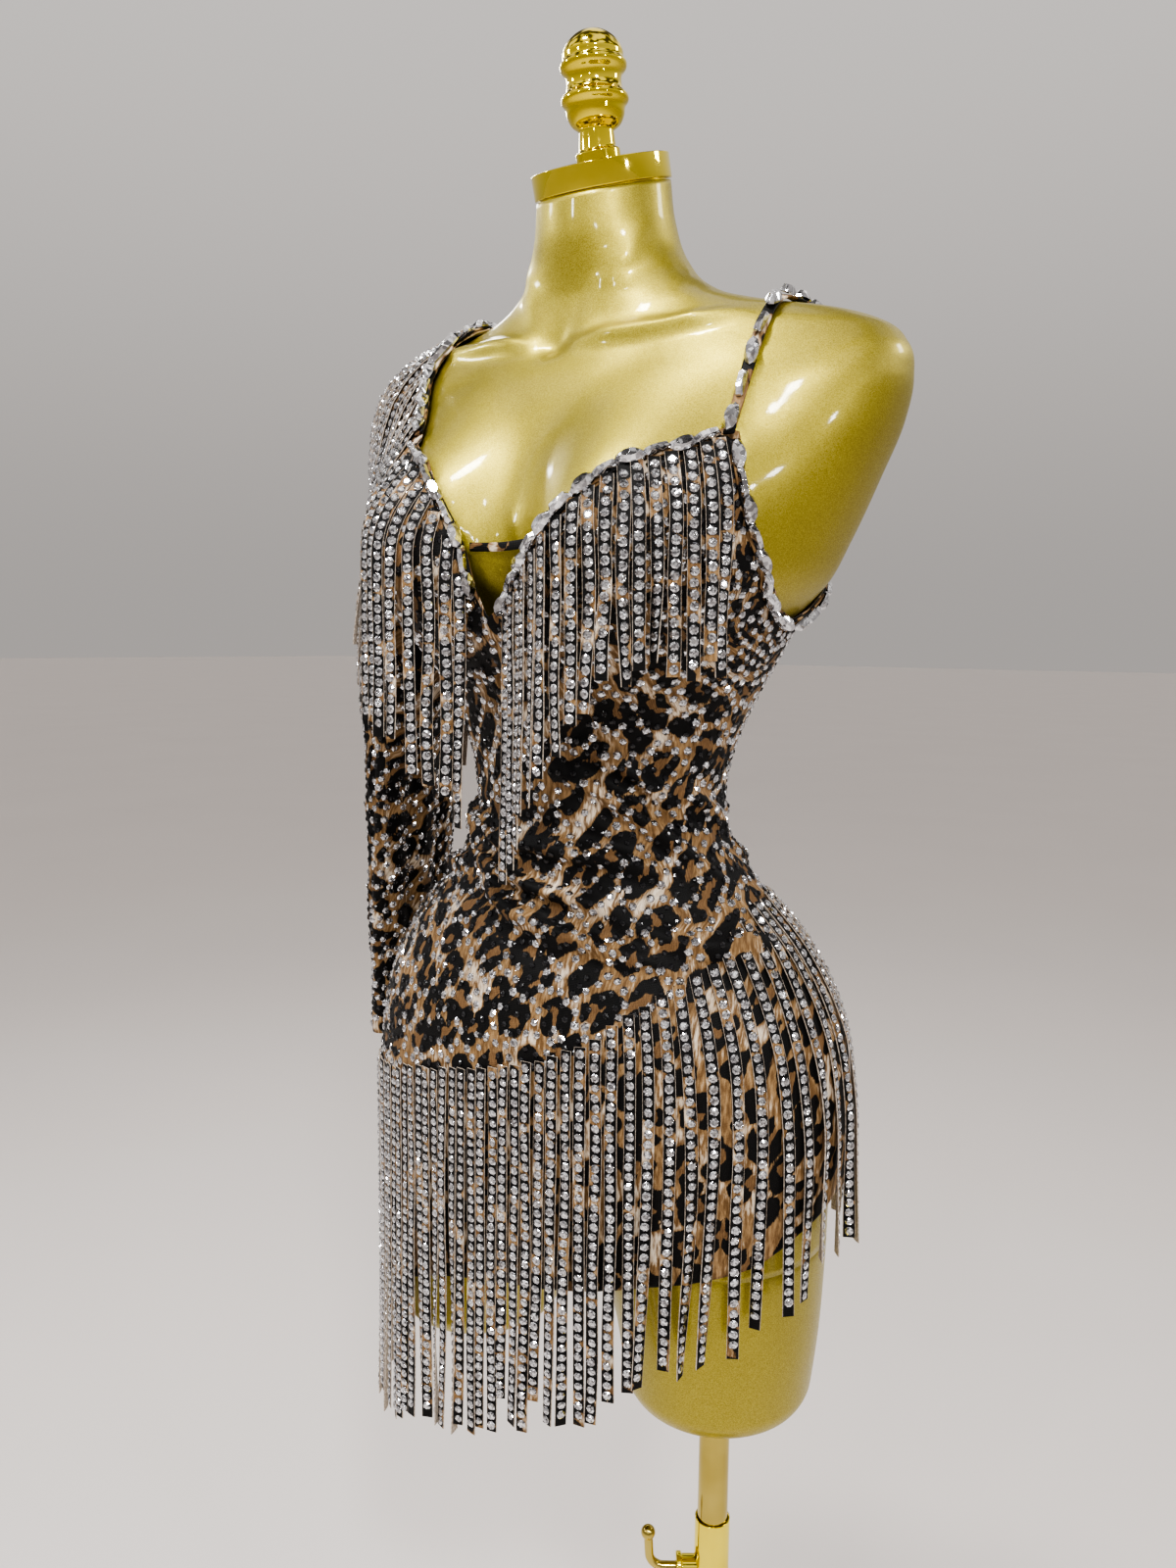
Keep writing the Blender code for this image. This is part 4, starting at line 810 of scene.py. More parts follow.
def leopard(x, y):
    """Signed distances in millimetres at points of the flat print: to the black shapes, and into the rings' centres."""
    x, y = np.asarray(x, float), np.asarray(y, float)
    wx = x + 0.0011 * np.sin(y * 410 + 1.3) + 0.0008 * np.sin(x * 530 + y * 290)
    wy = y + 0.0011 * np.sin(x * 380 + 0.4) + 0.0008 * np.sin(y * 560 - x * 310 + 2.0)
    row_height = PITCH * 0.88
    row = np.floor(wy / row_height).astype(int)
    spot = np.full(x.shape, 50.0)
    core = np.full(x.shape, -50.0)
    for dj in (-1, 0, 1):
        j = row + dj
        shift = (j % 2) * 0.5
        column = np.floor(wx / PITCH - shift).astype(int)
        for di in (-1, 0, 1):
            i = column + di
            k = (i % TILE, j % TILE)
            r = {key: table[k] for key, table in ROSETTES.items()}
            px = wx - (i + 0.5 + shift + r["x"]) * PITCH
            py = wy - (j + 0.5 + r["y"]) * row_height
            c, s = np.cos(r["turn"]), np.sin(r["turn"])
            u, v = (c * px + s * py) * np.sqrt(r["long"]), (-s * px + c * py) / np.sqrt(r["long"])
            rho, phi = np.hypot(u, v), np.arctan2(v, u)
            ring = r["radius"] * (1 + 0.14 * np.cos(2 * phi + r["lobe"]) + 0.09 * np.cos(3 * phi - r["lobe"]))
            half = r["half"] * (1 + 0.28 * np.cos(phi - r["lobe"]) + 0.22 * np.cos(2 * phi + r["gap_one"]))
            for centre, wide in ((r["gap_one"], r["wide_one"]), (r["gap_one"] + r["gap_two"], r["wide_two"])):
                away = np.angle(np.exp(1j * (phi - centre)))
                half = half - 0.0068 * np.exp(-((away / wide) ** 2))
            ring = np.where(r["solid"], 0.0006, ring)
            half = np.where(r["solid"], r["radius"] * 1.12 * (1 + 0.16 * np.cos(2 * phi + r["lobe"]) + 0.10 * np.cos(3 * phi)), half)
            spot = np.minimum(spot, (np.abs(rho - ring) - half) * 1000)
            core = np.maximum(core, np.where(r["solid"], -50.0, (ring - rho) * 1000 - 1.0))
    return spot, core


# ---------------------------------------------------------------- folds in the stretched cloth
FOLD_COLUMNS = ("start degrees", "start z", "end degrees", "end z", "sag in m", "height in m", "width in m")
FOLDS = [
    (-124.0, 1.098, -66.0, 1.072, -0.004, 0.0034, 0.0052),
    (-122.0, 1.090, -50.0, 1.040, -0.008, 0.0030, 0.0058),
    (-120.0, 1.106, -62.0, 1.098, 0.003, 0.0030, 0.0048),
    (-116.0, 1.116, -40.0, 1.092, 0.006, 0.0026, 0.0056),
    (-110.0, 1.080, -78.0, 1.040, -0.003, 0.0024, 0.0060),
    (-84.0, 1.160, -14.0, 1.086, 0.010, 0.0026, 0.0064),
    (-70.0, 1.176, -20.0, 1.120, 0.006, 0.0020, 0.0058),
    (-60.0, 1.060, -8.0, 1.052, -0.006, 0.0020, 0.0070),
    (-140.0, 1.120, -112.0, 1.104, 0.004, 0.0026, 0.0050),
    (-168.0, 1.128, -128.0, 1.100, 0.002, 0.0024, 0.0058),
    (-176.0, 1.080, -132.0, 1.088, -0.006, 0.0020, 0.0060),
    (-34.0, 1.150, 12.0, 1.118, 0.004, 0.0018, 0.0060),
    (28.0, 1.128, 84.0, 1.108, 0.006, 0.0024, 0.0064),
    (20.0, 1.100, 76.0, 1.082, -0.004, 0.0022, 0.0060),
    (60.0, 1.150, 128.0, 1.122, 0.005, 0.0022, 0.0064),
    (104.0, 1.100, 158.0, 1.116, -0.006, 0.0024, 0.0060),
    (96.0, 1.074, 150.0, 1.092, -0.004, 0.0018, 0.0066),
    (-92.0, 1.232, -76.0, 1.196, 0.004, 0.0022, 0.0056),
    (-104.0, 1.226, -88.0, 1.182, -0.004, 0.0020, 0.0052),
]


def folded(angle, z):
    """How far the cloth stands out, from the folds' table."""
    degrees = (np.degrees(angle) + 180.0) % 360.0 - 180.0
    width_here = 0.0017
    lift = np.zeros(np.broadcast(degrees, z).shape)
    for a0, z0, a1, z1, sag, height, width in FOLDS:
        steps = np.linspace(0, 1, 15)
        la = a0 + (a1 - a0) * steps
        lz = z0 + (z1 - z0) * steps + sag * 4 * steps * (1 - steps)
        best = np.full(lift.shape, 9.0)
        share = np.zeros(lift.shape)
        for k in range(14):
            ax, az = la[k] * width_here, lz[k]
            bx, bz = la[k + 1] * width_here, lz[k + 1]
            px, pz = degrees * width_here - ax, z - az
            dx, dz = bx - ax, bz - az
            t = np.clip((px * dx + pz * dz) / (dx * dx + dz * dz), 0, 1)
            d = np.hypot(px - t * dx, pz - t * dz)
            closer = d < best
            best = np.where(closer, d, best)
            share = np.where(closer, (k + t) / 14, share)
        taper = np.sin(np.pi * np.clip(share * 0.92 + 0.06, 0, 1)) ** 0.7
        ridge = np.exp(-((best / width) ** 2))
        trough = np.exp(-(((best - 1.9 * width) / (1.1 * width)) ** 2))
        lift += 2.7 * height * taper * (ridge - 0.45 * trough)
    return np.clip(lift, -0.0026, 0.0090)


def cloth(angle, z, out=0.0):
    """The dress cloth's outer face, with its folds."""
    return dress(angle, z, SKIN + out + folded(angle, z))


def reach_many(direction, z):
    direction = (direction + math.pi) % (2 * math.pi) - math.pi
    u = (direction + math.pi) / (2 * math.pi) * 360
    v = np.clip((z - FINE_Z[0]) / 0.005, 0, len(FINE_Z) - 1.001)
    i, j = v.astype(int), np.minimum(u.astype(int), 359)
    fv, fu = v - i, u - j
    low = REACH[i, j] * (1 - fu) + REACH[i, j + 1] * fu
    high = REACH[i + 1, j] * (1 - fu) + REACH[i + 1, j + 1] * fu
    return low * (1 - fv) + high * fv


def hang_many(start, drop, margin, step=0.002):
    """Lines of many strips at once: down the cloth from their first points, and plumb where it falls away."""
    p = np.array(start, float)
    lines = [p.copy()]
    for _ in range(int(np.max(drop) / step) + 2):
        q = p - np.array([0, 0, step])
        dx, dy = q[:, 0] - FORM_X, q[:, 1]
        r = np.hypot(dx, dy)
        need = reach_many(np.arctan2(dy, dx), q[:, 2]) + margin
        grow = np.where(r < need, need / r, 1.0)
        q[:, 0], q[:, 1] = FORM_X + dx * grow, dy * grow
        p = q
        lines.append(p.copy())
    return np.array(lines).transpose(1, 0, 2)


# ---------------------------------------------------------------- stones
def stone_template(sides, table=0.55, height=0.42, girdle=0.12, outline=None):
    """A flat-backed cut stone of unit radius: girdle, crown facets and table."""
    t = np.linspace(0, 2 * math.pi, sides, endpoint=False)
    shape = outline if outline is not None else np.stack([np.cos(t), np.sin(t)], -1)
    half = 0.5 * (shape + np.roll(shape, -1, axis=0))
    rings = [np.c_[shape, np.zeros(sides)], np.c_[shape * 0.98, np.full(sides, girdle)], np.c_[half * table / 0.93, np.full(sides, height)]]
    verts = np.concatenate(rings)
    tris = []
    for k in range(sides):
        n = (k + 1) % sides
        tris += [(k, n, sides + n), (k, sides + n, sides + k)]
        tris += [(sides + k, sides + n, 2 * sides + k), (sides + n, 2 * sides + n, 2 * sides + k)]
    for k in range(1, sides - 1):
        tris.append((2 * sides, 2 * sides + k, 2 * sides + k + 1))
    return verts, np.array(tris)


ROUND_STONE = stone_template(8)
SMALL_STONE = stone_template(6, table=0.5, height=0.46)
_t = np.linspace(0, 2 * math.pi, 10, endpoint=False)
MARQUISE = stone_template(10, table=0.56, height=0.50, outline=np.stack([0.5 * np.sign(np.sin(_t)) * np.abs(np.sin(_t)) ** 1.0 * 1.0, np.cos(_t)], -1)[:, ::-1] * np.array([1.0, 1.0]))
BAGUETTE = stone_template(8, table=0.62, height=0.52, outline=np.array([(1, -0.18), (1, 0.18), (0.88, 0.29), (-0.88, 0.29), (-1, 0.18), (-1, -0.18), (-0.88, -0.29), (0.88, -0.29)], float))


def set_stones(name, template, centres, across, normal, radius, material, seed=1, spin=True, tilt=0.09):
    """Many stones as one mesh; across and normal give each one's own frame."""
    verts, tris = template
    count = len(centres)
    r = rng(seed)
    normal = normal + r.normal(0, tilt, (count, 3))
    normal /= np.linalg.norm(normal, axis=1)[:, None]
    across = across - normal * np.sum(across * normal, axis=1)[:, None]
    across /= np.maximum(np.linalg.norm(across, axis=1)[:, None], 1e-9)
    other = np.cross(normal, across)
    if spin:
        a = r.uniform(0, 2 * math.pi, count)[:, None]
        across, other = across * np.cos(a) + other * np.sin(a), other * np.cos(a) - across * np.sin(a)
    radius = np.broadcast_to(np.asarray(radius, float), (count,))[:, None, None]
    local = verts[None] * radius
    world = (
        centres[:, None, :]
        + local[..., 0:1] * across[:, None, :]
        + local[..., 1:2] * other[:, None, :]
        + local[..., 2:3] * normal[:, None, :]
    )
    faces = (tris[None] + (np.arange(count) * len(verts))[:, None, None]).reshape(-1, 3)
    made = make_mesh(name, world.reshape(-1, 3), [faces], smooth=False)
    return finish_piece(made, [material])


# ---------------------------------------------------------------- ribbons
RIBBON_W, RIBBON_T = 0.0080, 0.0007


def ribbons(name, lines, outward, seed, pitch=0.0067, stone=0.00305, twist=0.30, sway=0.0025, replaced=()):
    """Flat cut strips along their lines, each with a row of stones. lines is a list of (n, 3) arrays."""
    r = rng(seed)
    verts, quads, index, pats, spots, cores = [], [], [], [], [], []
    centres, acrosses, normals = [], [], []
    start = 0
    profile = np.array([(-0.5, 0.5), (-0.475, 0.5), (0.475, 0.5), (0.5, 0.5), (0.5, -0.5), (0.0, -0.5), (-0.5, -0.5)])
    kinds = np.array([1, 0, 1, 1, 1, 1, 1])
    for line, out in zip(lines, outward):
        length = np.concatenate([[0], np.cumsum(np.linalg.norm(np.diff(line, axis=0), axis=1))])
        total = length[-1]
        rows = max(6, int(total / 0.0040))
        at = np.linspace(0, total, rows)
        path = np.stack([np.interp(at, length, line[:, k]) for k in range(3)], -1)
        share = at / total
        tangent = np.gradient(path, axis=0)
        tangent /= np.linalg.norm(tangent, axis=1)[:, None]
        level = out / np.linalg.norm(out)
        normal = level[None] - tangent * (tangent @ level)[:, None]
        normal /= np.linalg.norm(normal, axis=1)[:, None]
        across = np.cross(tangent, normal)
        # Free swing and twist grow towards the loose end.
        loose = np.clip((share - 0.25) / 0.75, 0, 1) ** 1.5
        swing = r.normal(0, sway) * loose + r.normal(0, 0.0006) * np.sin(share * r.uniform(6, 12) + r.uniform(0, 6))
        path = path + across * swing[:, None] + normal * (abs(r.normal(0, sway * 0.7)) * loose)[:, None]
        amount = r.normal(0, twist) if r.uniform() < 0.86 else r.choice([-1, 1]) * r.uniform(0.7, 1.25)
        angle = r.normal(0, 0.05) + amount * loose
        across, normal = (
            across * np.cos(angle)[:, None] + normal * np.sin(angle)[:, None],
            normal * np.cos(angle)[:, None] - across * np.sin(angle)[:, None],
        )
        width = RIBBON_W * r.uniform(0.94, 1.04) * (1 + 0.03 * np.sin(share * r.uniform(9, 17) + r.uniform(0, 6)))
        cup = r.normal(0.0, 0.0003)
        offset = profile[None, :, 0] * width[:, None] * 1.0
        lift = profile[None, :, 1] * RIBBON_T + cup * (1 - (2 * profile[None, :, 0]) ** 2)
        ring = path[:, None, :] + across[:, None, :] * offset[..., None] + normal[:, None, :] * lift[..., None]
        k = len(profile)
        verts.append(ring.reshape(-1, 3))
        i = np.arange(rows - 1)[:, None] * k
        j = np.arange(k)[None, :]
        n = (j + 1) % k
        quads.append((np.stack([i + j, i + k + j, i + k + n, i + n], -1)[:, :, ::-1].reshape(-1, 4) + start))
        index.append(np.tile(kinds, rows - 1))
        ends = np.array([[0, 1, 2, 3], [0, 3, 4, 6]])
        quads.append(ends + start)
        quads.append(ends[:, ::-1] + start + (rows - 1) * k)
        index.append(np.ones(4, int))
        x0, y0 = r.uniform(0, 0.4), r.uniform(0, 0.4)
        px = np.broadcast_to(x0 + offset, (rows, k))
        py = np.broadcast_to((y0 - at)[:, None], (rows, k))
        spot, core = leopard(px, py)
        spot = spot - 2.6
        pats.append(np.stack([px, py, np.zeros_like(px)], -1).reshape(-1, 3))
        spots.append(spot.ravel())
        cores.append(core.ravel())
        start += rows * k
        # Stones from the top end down.
        first = 0.0040 + r.uniform(0, 0.0015)
        where = np.arange(first, total - 0.0028, pitch * r.uniform(0.985, 1.02))
        if len(where):
            interp = lambda a: np.stack([np.interp(where, at, a[:, q]) for q in range(3)], -1)
            c, a, nn = interp(path), interp(across), interp(normal)
            nn /= np.linalg.norm(nn, axis=1)[:, None]
            centres.append(c + nn * (RIBBON_T * 0.5 + cup * 0.9) + a * r.normal(0, 0.00022, len(where))[:, None])
            acrosses.append(a)
            normals.append(nn)
    made = make_mesh(
        name,
        np.concatenate(verts),
        [np.concatenate(quads)],
        attributes={"pat": np.concatenate(pats), "spot": np.concatenate(spots), "core": np.concatenate(cores)},
        material_index=np.concatenate(index),
    )
    finish_piece(made, [RIBBON, CUT_EDGE], replaced=replaced)
    for polygon_flag in ("use_smooth",):
        made.data.polygons.foreach_set(polygon_flag, np.zeros(len(made.data.polygons), bool))
    set_stones(name + "_stones", ROUND_STONE, np.concatenate(centres), np.concatenate(acrosses), np.concatenate(normals), stone, CRYSTAL, seed=seed + 100)
    return made


# ---------------------------------------------------------------- dress form
def form_relief(points):
    """The collarbones, the notch between them and the neck's long muscles, as small rises and hollows."""
    rel = points - np.array([FORM_X, 0, 0])
    lift = np.zeros(len(points))
    lines = [
        # points (x, y, z) relative to the form's centre, height, width
        ([(0.014, -0.050, 1.437), (0.049, -0.047, 1.439), (0.075, -0.043, 1.441), (0.099, -0.037, 1.444), (0.128, -0.026, 1.449)], 0.0060, 0.0072),
        ([(-0.030, -0.049, 1.440), (-0.056, -0.044, 1.443), (-0.080, -0.040, 1.445), (-0.104, -0.034, 1.448), (-0.130, -0.024, 1.451)], 0.0060, 0.0072),
        ([(0.006, -0.049, 1.446), (0.022, -0.042, 1.468), (0.038, -0.032, 1.492), (0.048, -0.012, 1.520)], 0.0022, 0.0085),
        ([(-0.022, -0.048, 1.448), (-0.036, -0.038, 1.470), (-0.046, -0.026, 1.494), (-0.052, -0.008, 1.520)], 0.0022, 0.0085),
    ]
    for line, height, width in lines:
        line = np.array(line)
        best = np.full(len(points), 9.0)
        share = np.zeros(len(points))
        for k in range(len(line) - 1):
            d = line[k + 1] - line[k]
            t = np.clip((rel - line[k]) @ d / (d @ d), 0, 1)
            away = np.linalg.norm(rel - line[k] - t[:, None] * d, axis=1)
            closer = away < best
            best = np.where(closer, away, best)
            share = np.where(closer, (k + t) / (len(line) - 1), share)
        lift += height * np.exp(-((best / width) ** 2)) * np.clip(np.minimum(share * 5 + 0.35, (1 - share) * 3.0), 0, 1)
    for centre, depth, size in (
        ((-0.008, -0.050, 1.440), -0.0062, 0.0105),
        ((0.070, -0.035, 1.458), -0.0024, 0.020),
        ((-0.088, -0.032, 1.458), -0.0024, 0.020),
        ((0.060, -0.056, 1.420), -0.0016, 0.020),
        ((-0.078, -0.055, 1.424), -0.0016, 0.020),
    ):
        away = np.linalg.norm((rel - np.array(centre)) / size, axis=1)
        lift += depth * np.exp(-(away**2))
    return lift


def build_form():
    around = 208
    t = np.linspace(0, 2 * math.pi, around, endpoint=False)
    levels = np.concatenate([
        np.linspace(CROTCH_Z, 0.91, 16)[:-1], np.linspace(0.91, 1.20, 52)[:-1], np.linspace(1.20, 1.38, 56)[:-1],
        np.linspace(1.38, 1.472, 64)[:-1], np.linspace(1.472, NECK_Z, 26),
    ])
    grid = []
    for z in levels:
        if z < 0.91:
            ring = hips(t, z, UNDER if z > 0.88 else 0.0)
        else:
            ring = body(t, z, -UNDER * covered(t, z))
        grid.append(ring)
    grid = np.array(grid).transpose(1, 0, 2)
    n = normals_of(grid, closed=True)
    flat = grid.reshape(-1, 3)
    fade = 1 - covered(np.repeat(t[:, None], len(levels), 1), np.repeat(levels[None], around, 0)).ravel()
    flat = flat + n.reshape(-1, 3) * (form_relief(flat) * fade)[:, None]
    rows = len(levels)
    low, high = flat.reshape(around, rows, 3)[:, 0], flat.reshape(around, rows, 3)[:, -1]
    verts = np.concatenate([flat, low.mean(0)[None], high.mean(0)[None]])
    quads = grid_faces(around, rows, closed=True)
    i = np.arange(around)
    nxt = (i + 1) % around
    caps = np.concatenate([
        np.stack([nxt * rows, i * rows, np.full(around, around * rows)], -1),
        np.stack([i * rows + rows - 1, nxt * rows + rows - 1, np.full(around, around * rows + 1)], -1),
    ])
    made = make_mesh("dress_form", verts, [quads, caps])
    finish_piece(made, [GOLD_PAINT], replaced=("form",))
    for side, name in ((-1, "form_stub_right"), (1, "form_stub_left")):
        small = np.linspace(0, 2 * math.pi, 96, endpoint=False)
        middle = thigh_at(small, STUB_Z, side).mean(axis=0)
        rings = []
        for k in range(13):
            a = k / 12 * math.pi / 2
            rise, share = 0.016 * (1 - math.cos(a)), 1 - 0.20 * (1 - math.sin(a))
            ring = thigh_at(small, STUB_Z + rise, side)
            rings.append(np.concatenate([middle[:2] + (ring[:, :2] - middle[:2]) * share, ring[:, 2:]], axis=1))
        for z in np.linspace(STUB_Z + 0.020, 0.870, 30):
            rings.append(thigh_at(small, z, side, max(0.0, (z - 0.838) * 0.7)))
        g = np.array(rings).transpose(1, 0, 2)
        rows = g.shape[1]
        inner = middle + (g[:, 0] - middle) * 0.86
        inner[:, 2] = STUB_Z
        g = np.concatenate([inner[:, None], g], axis=1)
        rows += 1
        verts = np.concatenate([g.reshape(-1, 3), np.array([[middle[0], middle[1], STUB_Z]]), g[:, -1].mean(0)[None]])
        i = np.arange(96)
        nxt = (i + 1) % 96
        caps = np.concatenate([
            np.stack([nxt * rows, i * rows, np.full(96, 96 * rows)], -1),
            np.stack([i * rows + rows - 1, nxt * rows + rows - 1, np.full(96, 96 * rows + 1)], -1),
        ])
        made = make_mesh(name, verts, [grid_faces(96, rows, closed=True), caps])
        finish_piece(made, [GOLD_PAINT])


build_form()


# ---------------------------------------------------------------- turned metal pieces
def lathe(name, profile, material, body_name, replaced=(), around=96, frame_at=None, closed_profile=False):
    """A turned piece from (radius, height) pairs, smoothed only along its own curves."""
    profile = np.array(profile, float)
    t = np.linspace(0, 2 * math.pi, around, endpoint=False)
    ring = np.stack([np.cos(t), np.sin(t)], -1)
    grid = np.concatenate([profile[None, :, 0:1] * ring[:, None, :], np.broadcast_to(profile[None, :, 1:2], (around, len(profile), 1))], axis=-1)
    points = grid.reshape(-1, 3)
    if frame_at is not None:
        points = frame_at(points)
    made = make_mesh(name, points, [grid_faces(around, len(profile), closed=True)])
    finish_piece(made, [material], body_name, replaced)
    made.data.set_sharp_from_angle(angle=math.radians(38))
    return made


def rounded(points, radius=0.0006, steps=4):
    """A profile with its corners rounded."""
    points = np.array(points, float)
    out = [points[0]]
    for a, b, c in zip(points[:-2], points[1:-1], points[2:]):
        u, v = a - b, c - b
        lu, lv = np.linalg.norm(u), np.linalg.norm(v)
        cut = min(radius, lu * 0.45, lv * 0.45)
        p, q = b + u / lu * cut, b + v / lv * cut
        for k in range(steps + 1):
            s = k / steps
            out.append((1 - s) ** 2 * p + 2 * s * (1 - s) * b + s * s * q)
    out.append(points[-1])
    return np.array(out)


TILT_NORMAL = np.array([0, -math.sin(slope), math.cos(slope)])
TILT_ACROSS = np.array([0, math.cos(slope), math.sin(slope)])


def on_cap(points, lift=0.0):
    return CAP_CENTRE + points[:, 0:1] * np.array([1.0, 0, 0]) + points[:, 1:2] * TILT_ACROSS + (points[:, 2:3] + lift) * TILT_NORMAL


lathe("neck_cap_fine", rounded([(0.0, GAP), (CAP_R - 0.0035, GAP), (CAP_R - 0.0035, 0.0012), (CAP_R, 0.0014), (CAP_R, CAP_T), (CAP_R - 0.0008, CAP_T + GAP), (0.0, CAP_T + GAP)], 0.0008),
      GOLD_PLATE, "form", ("neck_cap",), 128, on_cap)


def finial_points(points):
    """The foot ring is square to the cap, and the rest leans less."""
    foot = CAP_CENTRE + TILT_NORMAL * (CAP_T + 2 * GAP)
    height = points[:, 2]
    share = np.clip((height - FOOT_RING) / 0.010, 0, 1)
    lean = slope + (FINIAL_LEAN - slope) * share
    low = np.minimum(height, FOOT_RING)
    centre = foot + low[:, None] * TILT_NORMAL + (height - low)[:, None] * np.array([0, -math.sin(FINIAL_LEAN), math.cos(FINIAL_LEAN)])
    return centre + points[:, 0:1] * np.array([1.0, 0, 0]) + points[:, 1:2] * np.stack([0 * lean, np.cos(lean), np.sin(lean)], -1)


_f = np.array([(r, h) for h, r in FINIAL])
_len = np.concatenate([[0], np.cumsum(np.linalg.norm(np.diff(_f, axis=0), axis=1))])


def curve_through(points, count):
    """A smooth line through a profile's points, corners kept soft."""
    points = np.array(points, float)
    length = np.concatenate([[0], np.cumsum(np.linalg.norm(np.diff(points, axis=0), axis=1))])
    at = np.linspace(0, length[-1], count)
    rows = [(float(s), *p) for s, p in zip(length, points)]
    return np.stack([along(rows, 1, at), along(rows, 2, at)], -1)


_top = curve_through(_f[4:], 90)
_bottom = rounded(_f[:5], 0.0008)
_profile = np.concatenate([[(0.0, 0.0)], _bottom[:-1], _top, [(0.0, _f[-1, 1] + 0.0005)]])
lathe("finial_fine", _profile, GOLD_PLATE, "form", ("finial",), 96, finial_points)

lathe("base_fine", np.concatenate([[(0.0, 0.0)], rounded([(BASE_R - 0.001, 0.0), (BASE_R, 0.001), (BASE_R, BASE_T * 0.6), (BASE_R - 0.003, BASE_T * 0.9), (BASE_R - 0.008, BASE_T),
       (0.060, BASE_T + 0.0004), (0.034, BASE_T + 0.001), (0.0225, BASE_T + 0.005), (0.0195, BASE_T + 0.012), (0.0195, BASE_T + 0.034), (TUBE_R + 0.0004, BASE_T + 0.034), (TUBE_R + 0.0004, BASE_T + 0.026)], 0.0016, 5)]),
      GOLD_PLATE, "stand", ("base",), 160)
lathe("outer_pole_fine", rounded([(TUBE_BORE, 0.30), (TUBE_BORE, TUBE_TOP), (TUBE_R, TUBE_TOP), (TUBE_R, 0.008)], 0.0004), GOLD_PLATE, "stand", ("outer_pole",), 96)
lathe("inner_pole_fine", rounded([(0.0, MAST_TOP), (POLE_R - 0.0002, MAST_TOP), (POLE_R - 0.0002, MAST_BOTTOM), (0.0, MAST_BOTTOM)][::-1], 0.0006), PALE_PLATE, "mast", ("inner_pole",), 96)

CLAMP_TURN = math.radians(CLAMP_DIRECTION)
CLAMP_OUT = np.array([math.cos(CLAMP_TURN), math.sin(CLAMP_TURN), 0.0])
CLAMP_SIDE = np.array([-math.sin(CLAMP_TURN), math.cos(CLAMP_TURN), 0.0])
UP = np.array([0, 0, 1.0])


def on_clamp(points):
    """A piece turned about the clamp's own axis: its height runs out from the pole."""
    return np.array([0, 0, CLAMP_Z]) + points[:, 2:3] * CLAMP_OUT + points[:, 0:1] * CLAMP_SIDE + points[:, 1:2] * UP


lathe("clamp_boss_fine", rounded([(SCREW_R + 0.0002, 0.0120), (0.0080, 0.0105), (0.0080, 0.0215), (0.0095, 0.0220), (0.0095, 0.0250), (0.0086, 0.0258), (SCREW_R + 0.0002, 0.0258)], 0.0005),
      GOLD_PLATE, "stand", ("clamp_boss",), 64, on_clamp)


def clamp_handle():
    rows = [(float(k), a, b) for k, (a, b) in enumerate(HANDLE)]
    at = np.linspace(0, len(HANDLE) - 1, 60)
    line = np.stack([along(rows, 1, at), along(rows, 2, at)], -1)
    heading = np.gradient(line, axis=0)
    heading /= np.linalg.norm(heading, axis=1)[:, None]
    t = np.linspace(0, 2 * math.pi, 32, endpoint=False)
    points = []
    for (d, h), (td, th) in zip(line, heading):
        radius = SCREW_R * (0.96 + (0.04 * math.sin(d * 9000) if d < 0.026 else 0.0))
        points.append(
            np.array([0, 0, CLAMP_Z]) + (d - radius * np.sin(t) * th)[:, None] * CLAMP_OUT + (radius * np.cos(t))[:, None] * CLAMP_SIDE + (h + radius * np.sin(t) * td)[:, None] * UP
        )
    grid = np.array(points).transpose(1, 0, 2)
    m, n = grid.shape[:2]
    verts = [grid.reshape(-1, 3), grid[:, 0].mean(0)[None]]
    i = np.arange(m)
    caps = np.stack([(i + 1) % m * n, i * n, np.full(m, m * n)], -1)
    quads = grid_faces(m, n, closed=True)
    # the ball at the handle's end
    u = np.linspace(0, 2 * math.pi, 32, endpoint=False)
    v = np.linspace(-math.pi / 2 + 0.02, math.pi / 2 - 0.001, 20)
    ball_centre = np.array([0, 0, CLAMP_Z]) + 0.0462 * CLAMP_OUT + 0.0265 * UP
    ball = ball_centre + 0.0052 * np.stack([np.cos(u)[:, None] * np.cos(v)[None], np.sin(u)[:, None] * np.cos(v)[None], np.broadcast_to(np.sin(v)[None], (32, 20))], -1)
    offset = m * n + 1
    verts.append(ball.reshape(-1, 3))
    quads = np.concatenate([quads, grid_faces(32, 20, closed=True, start=offset)])
    made = make_mesh("clamp_screw_fine", np.concatenate(verts), [quads, caps])
    finish_piece(made, [PALE_PLATE], "clamp", ("clamp_screw",))


clamp_handle()


# ---------------------------------------------------------------- cloth panels
def with_hems(grid, normal, bottom=True, top=True, thickness=0.0012, depth=0.007):
    """Adds turned-in edges to a grid of points, so that its free edges read as a doubled cloth."""
    parts = []
    down = grid[:, 0] - grid[:, 1]
    down /= np.maximum(np.linalg.norm(down, axis=-1, keepdims=True), 1e-9)
    up = grid[:, -1] - grid[:, -2]
    up /= np.maximum(np.linalg.norm(up, axis=-1, keepdims=True), 1e-9)
    n0, n1 = normal[:, 0], normal[:, -1]
    if bottom:
        parts += [grid[:, 0] - down * depth - n0 * thickness * 1.1, grid[:, 0] - down * 0.0008 - n0 * thickness, grid[:, 0] + down * 0.0003 - n0 * thickness * 0.5]
    parts += [grid[:, k] for k in range(grid.shape[1])]
    if top:
        parts += [grid[:, -1] + up * 0.0003 - n1 * thickness * 0.5, grid[:, -1] - up * 0.0008 - n1 * thickness, grid[:, -1] - up * depth - n1 * thickness * 1.1]
    return np.stack(parts, axis=1)


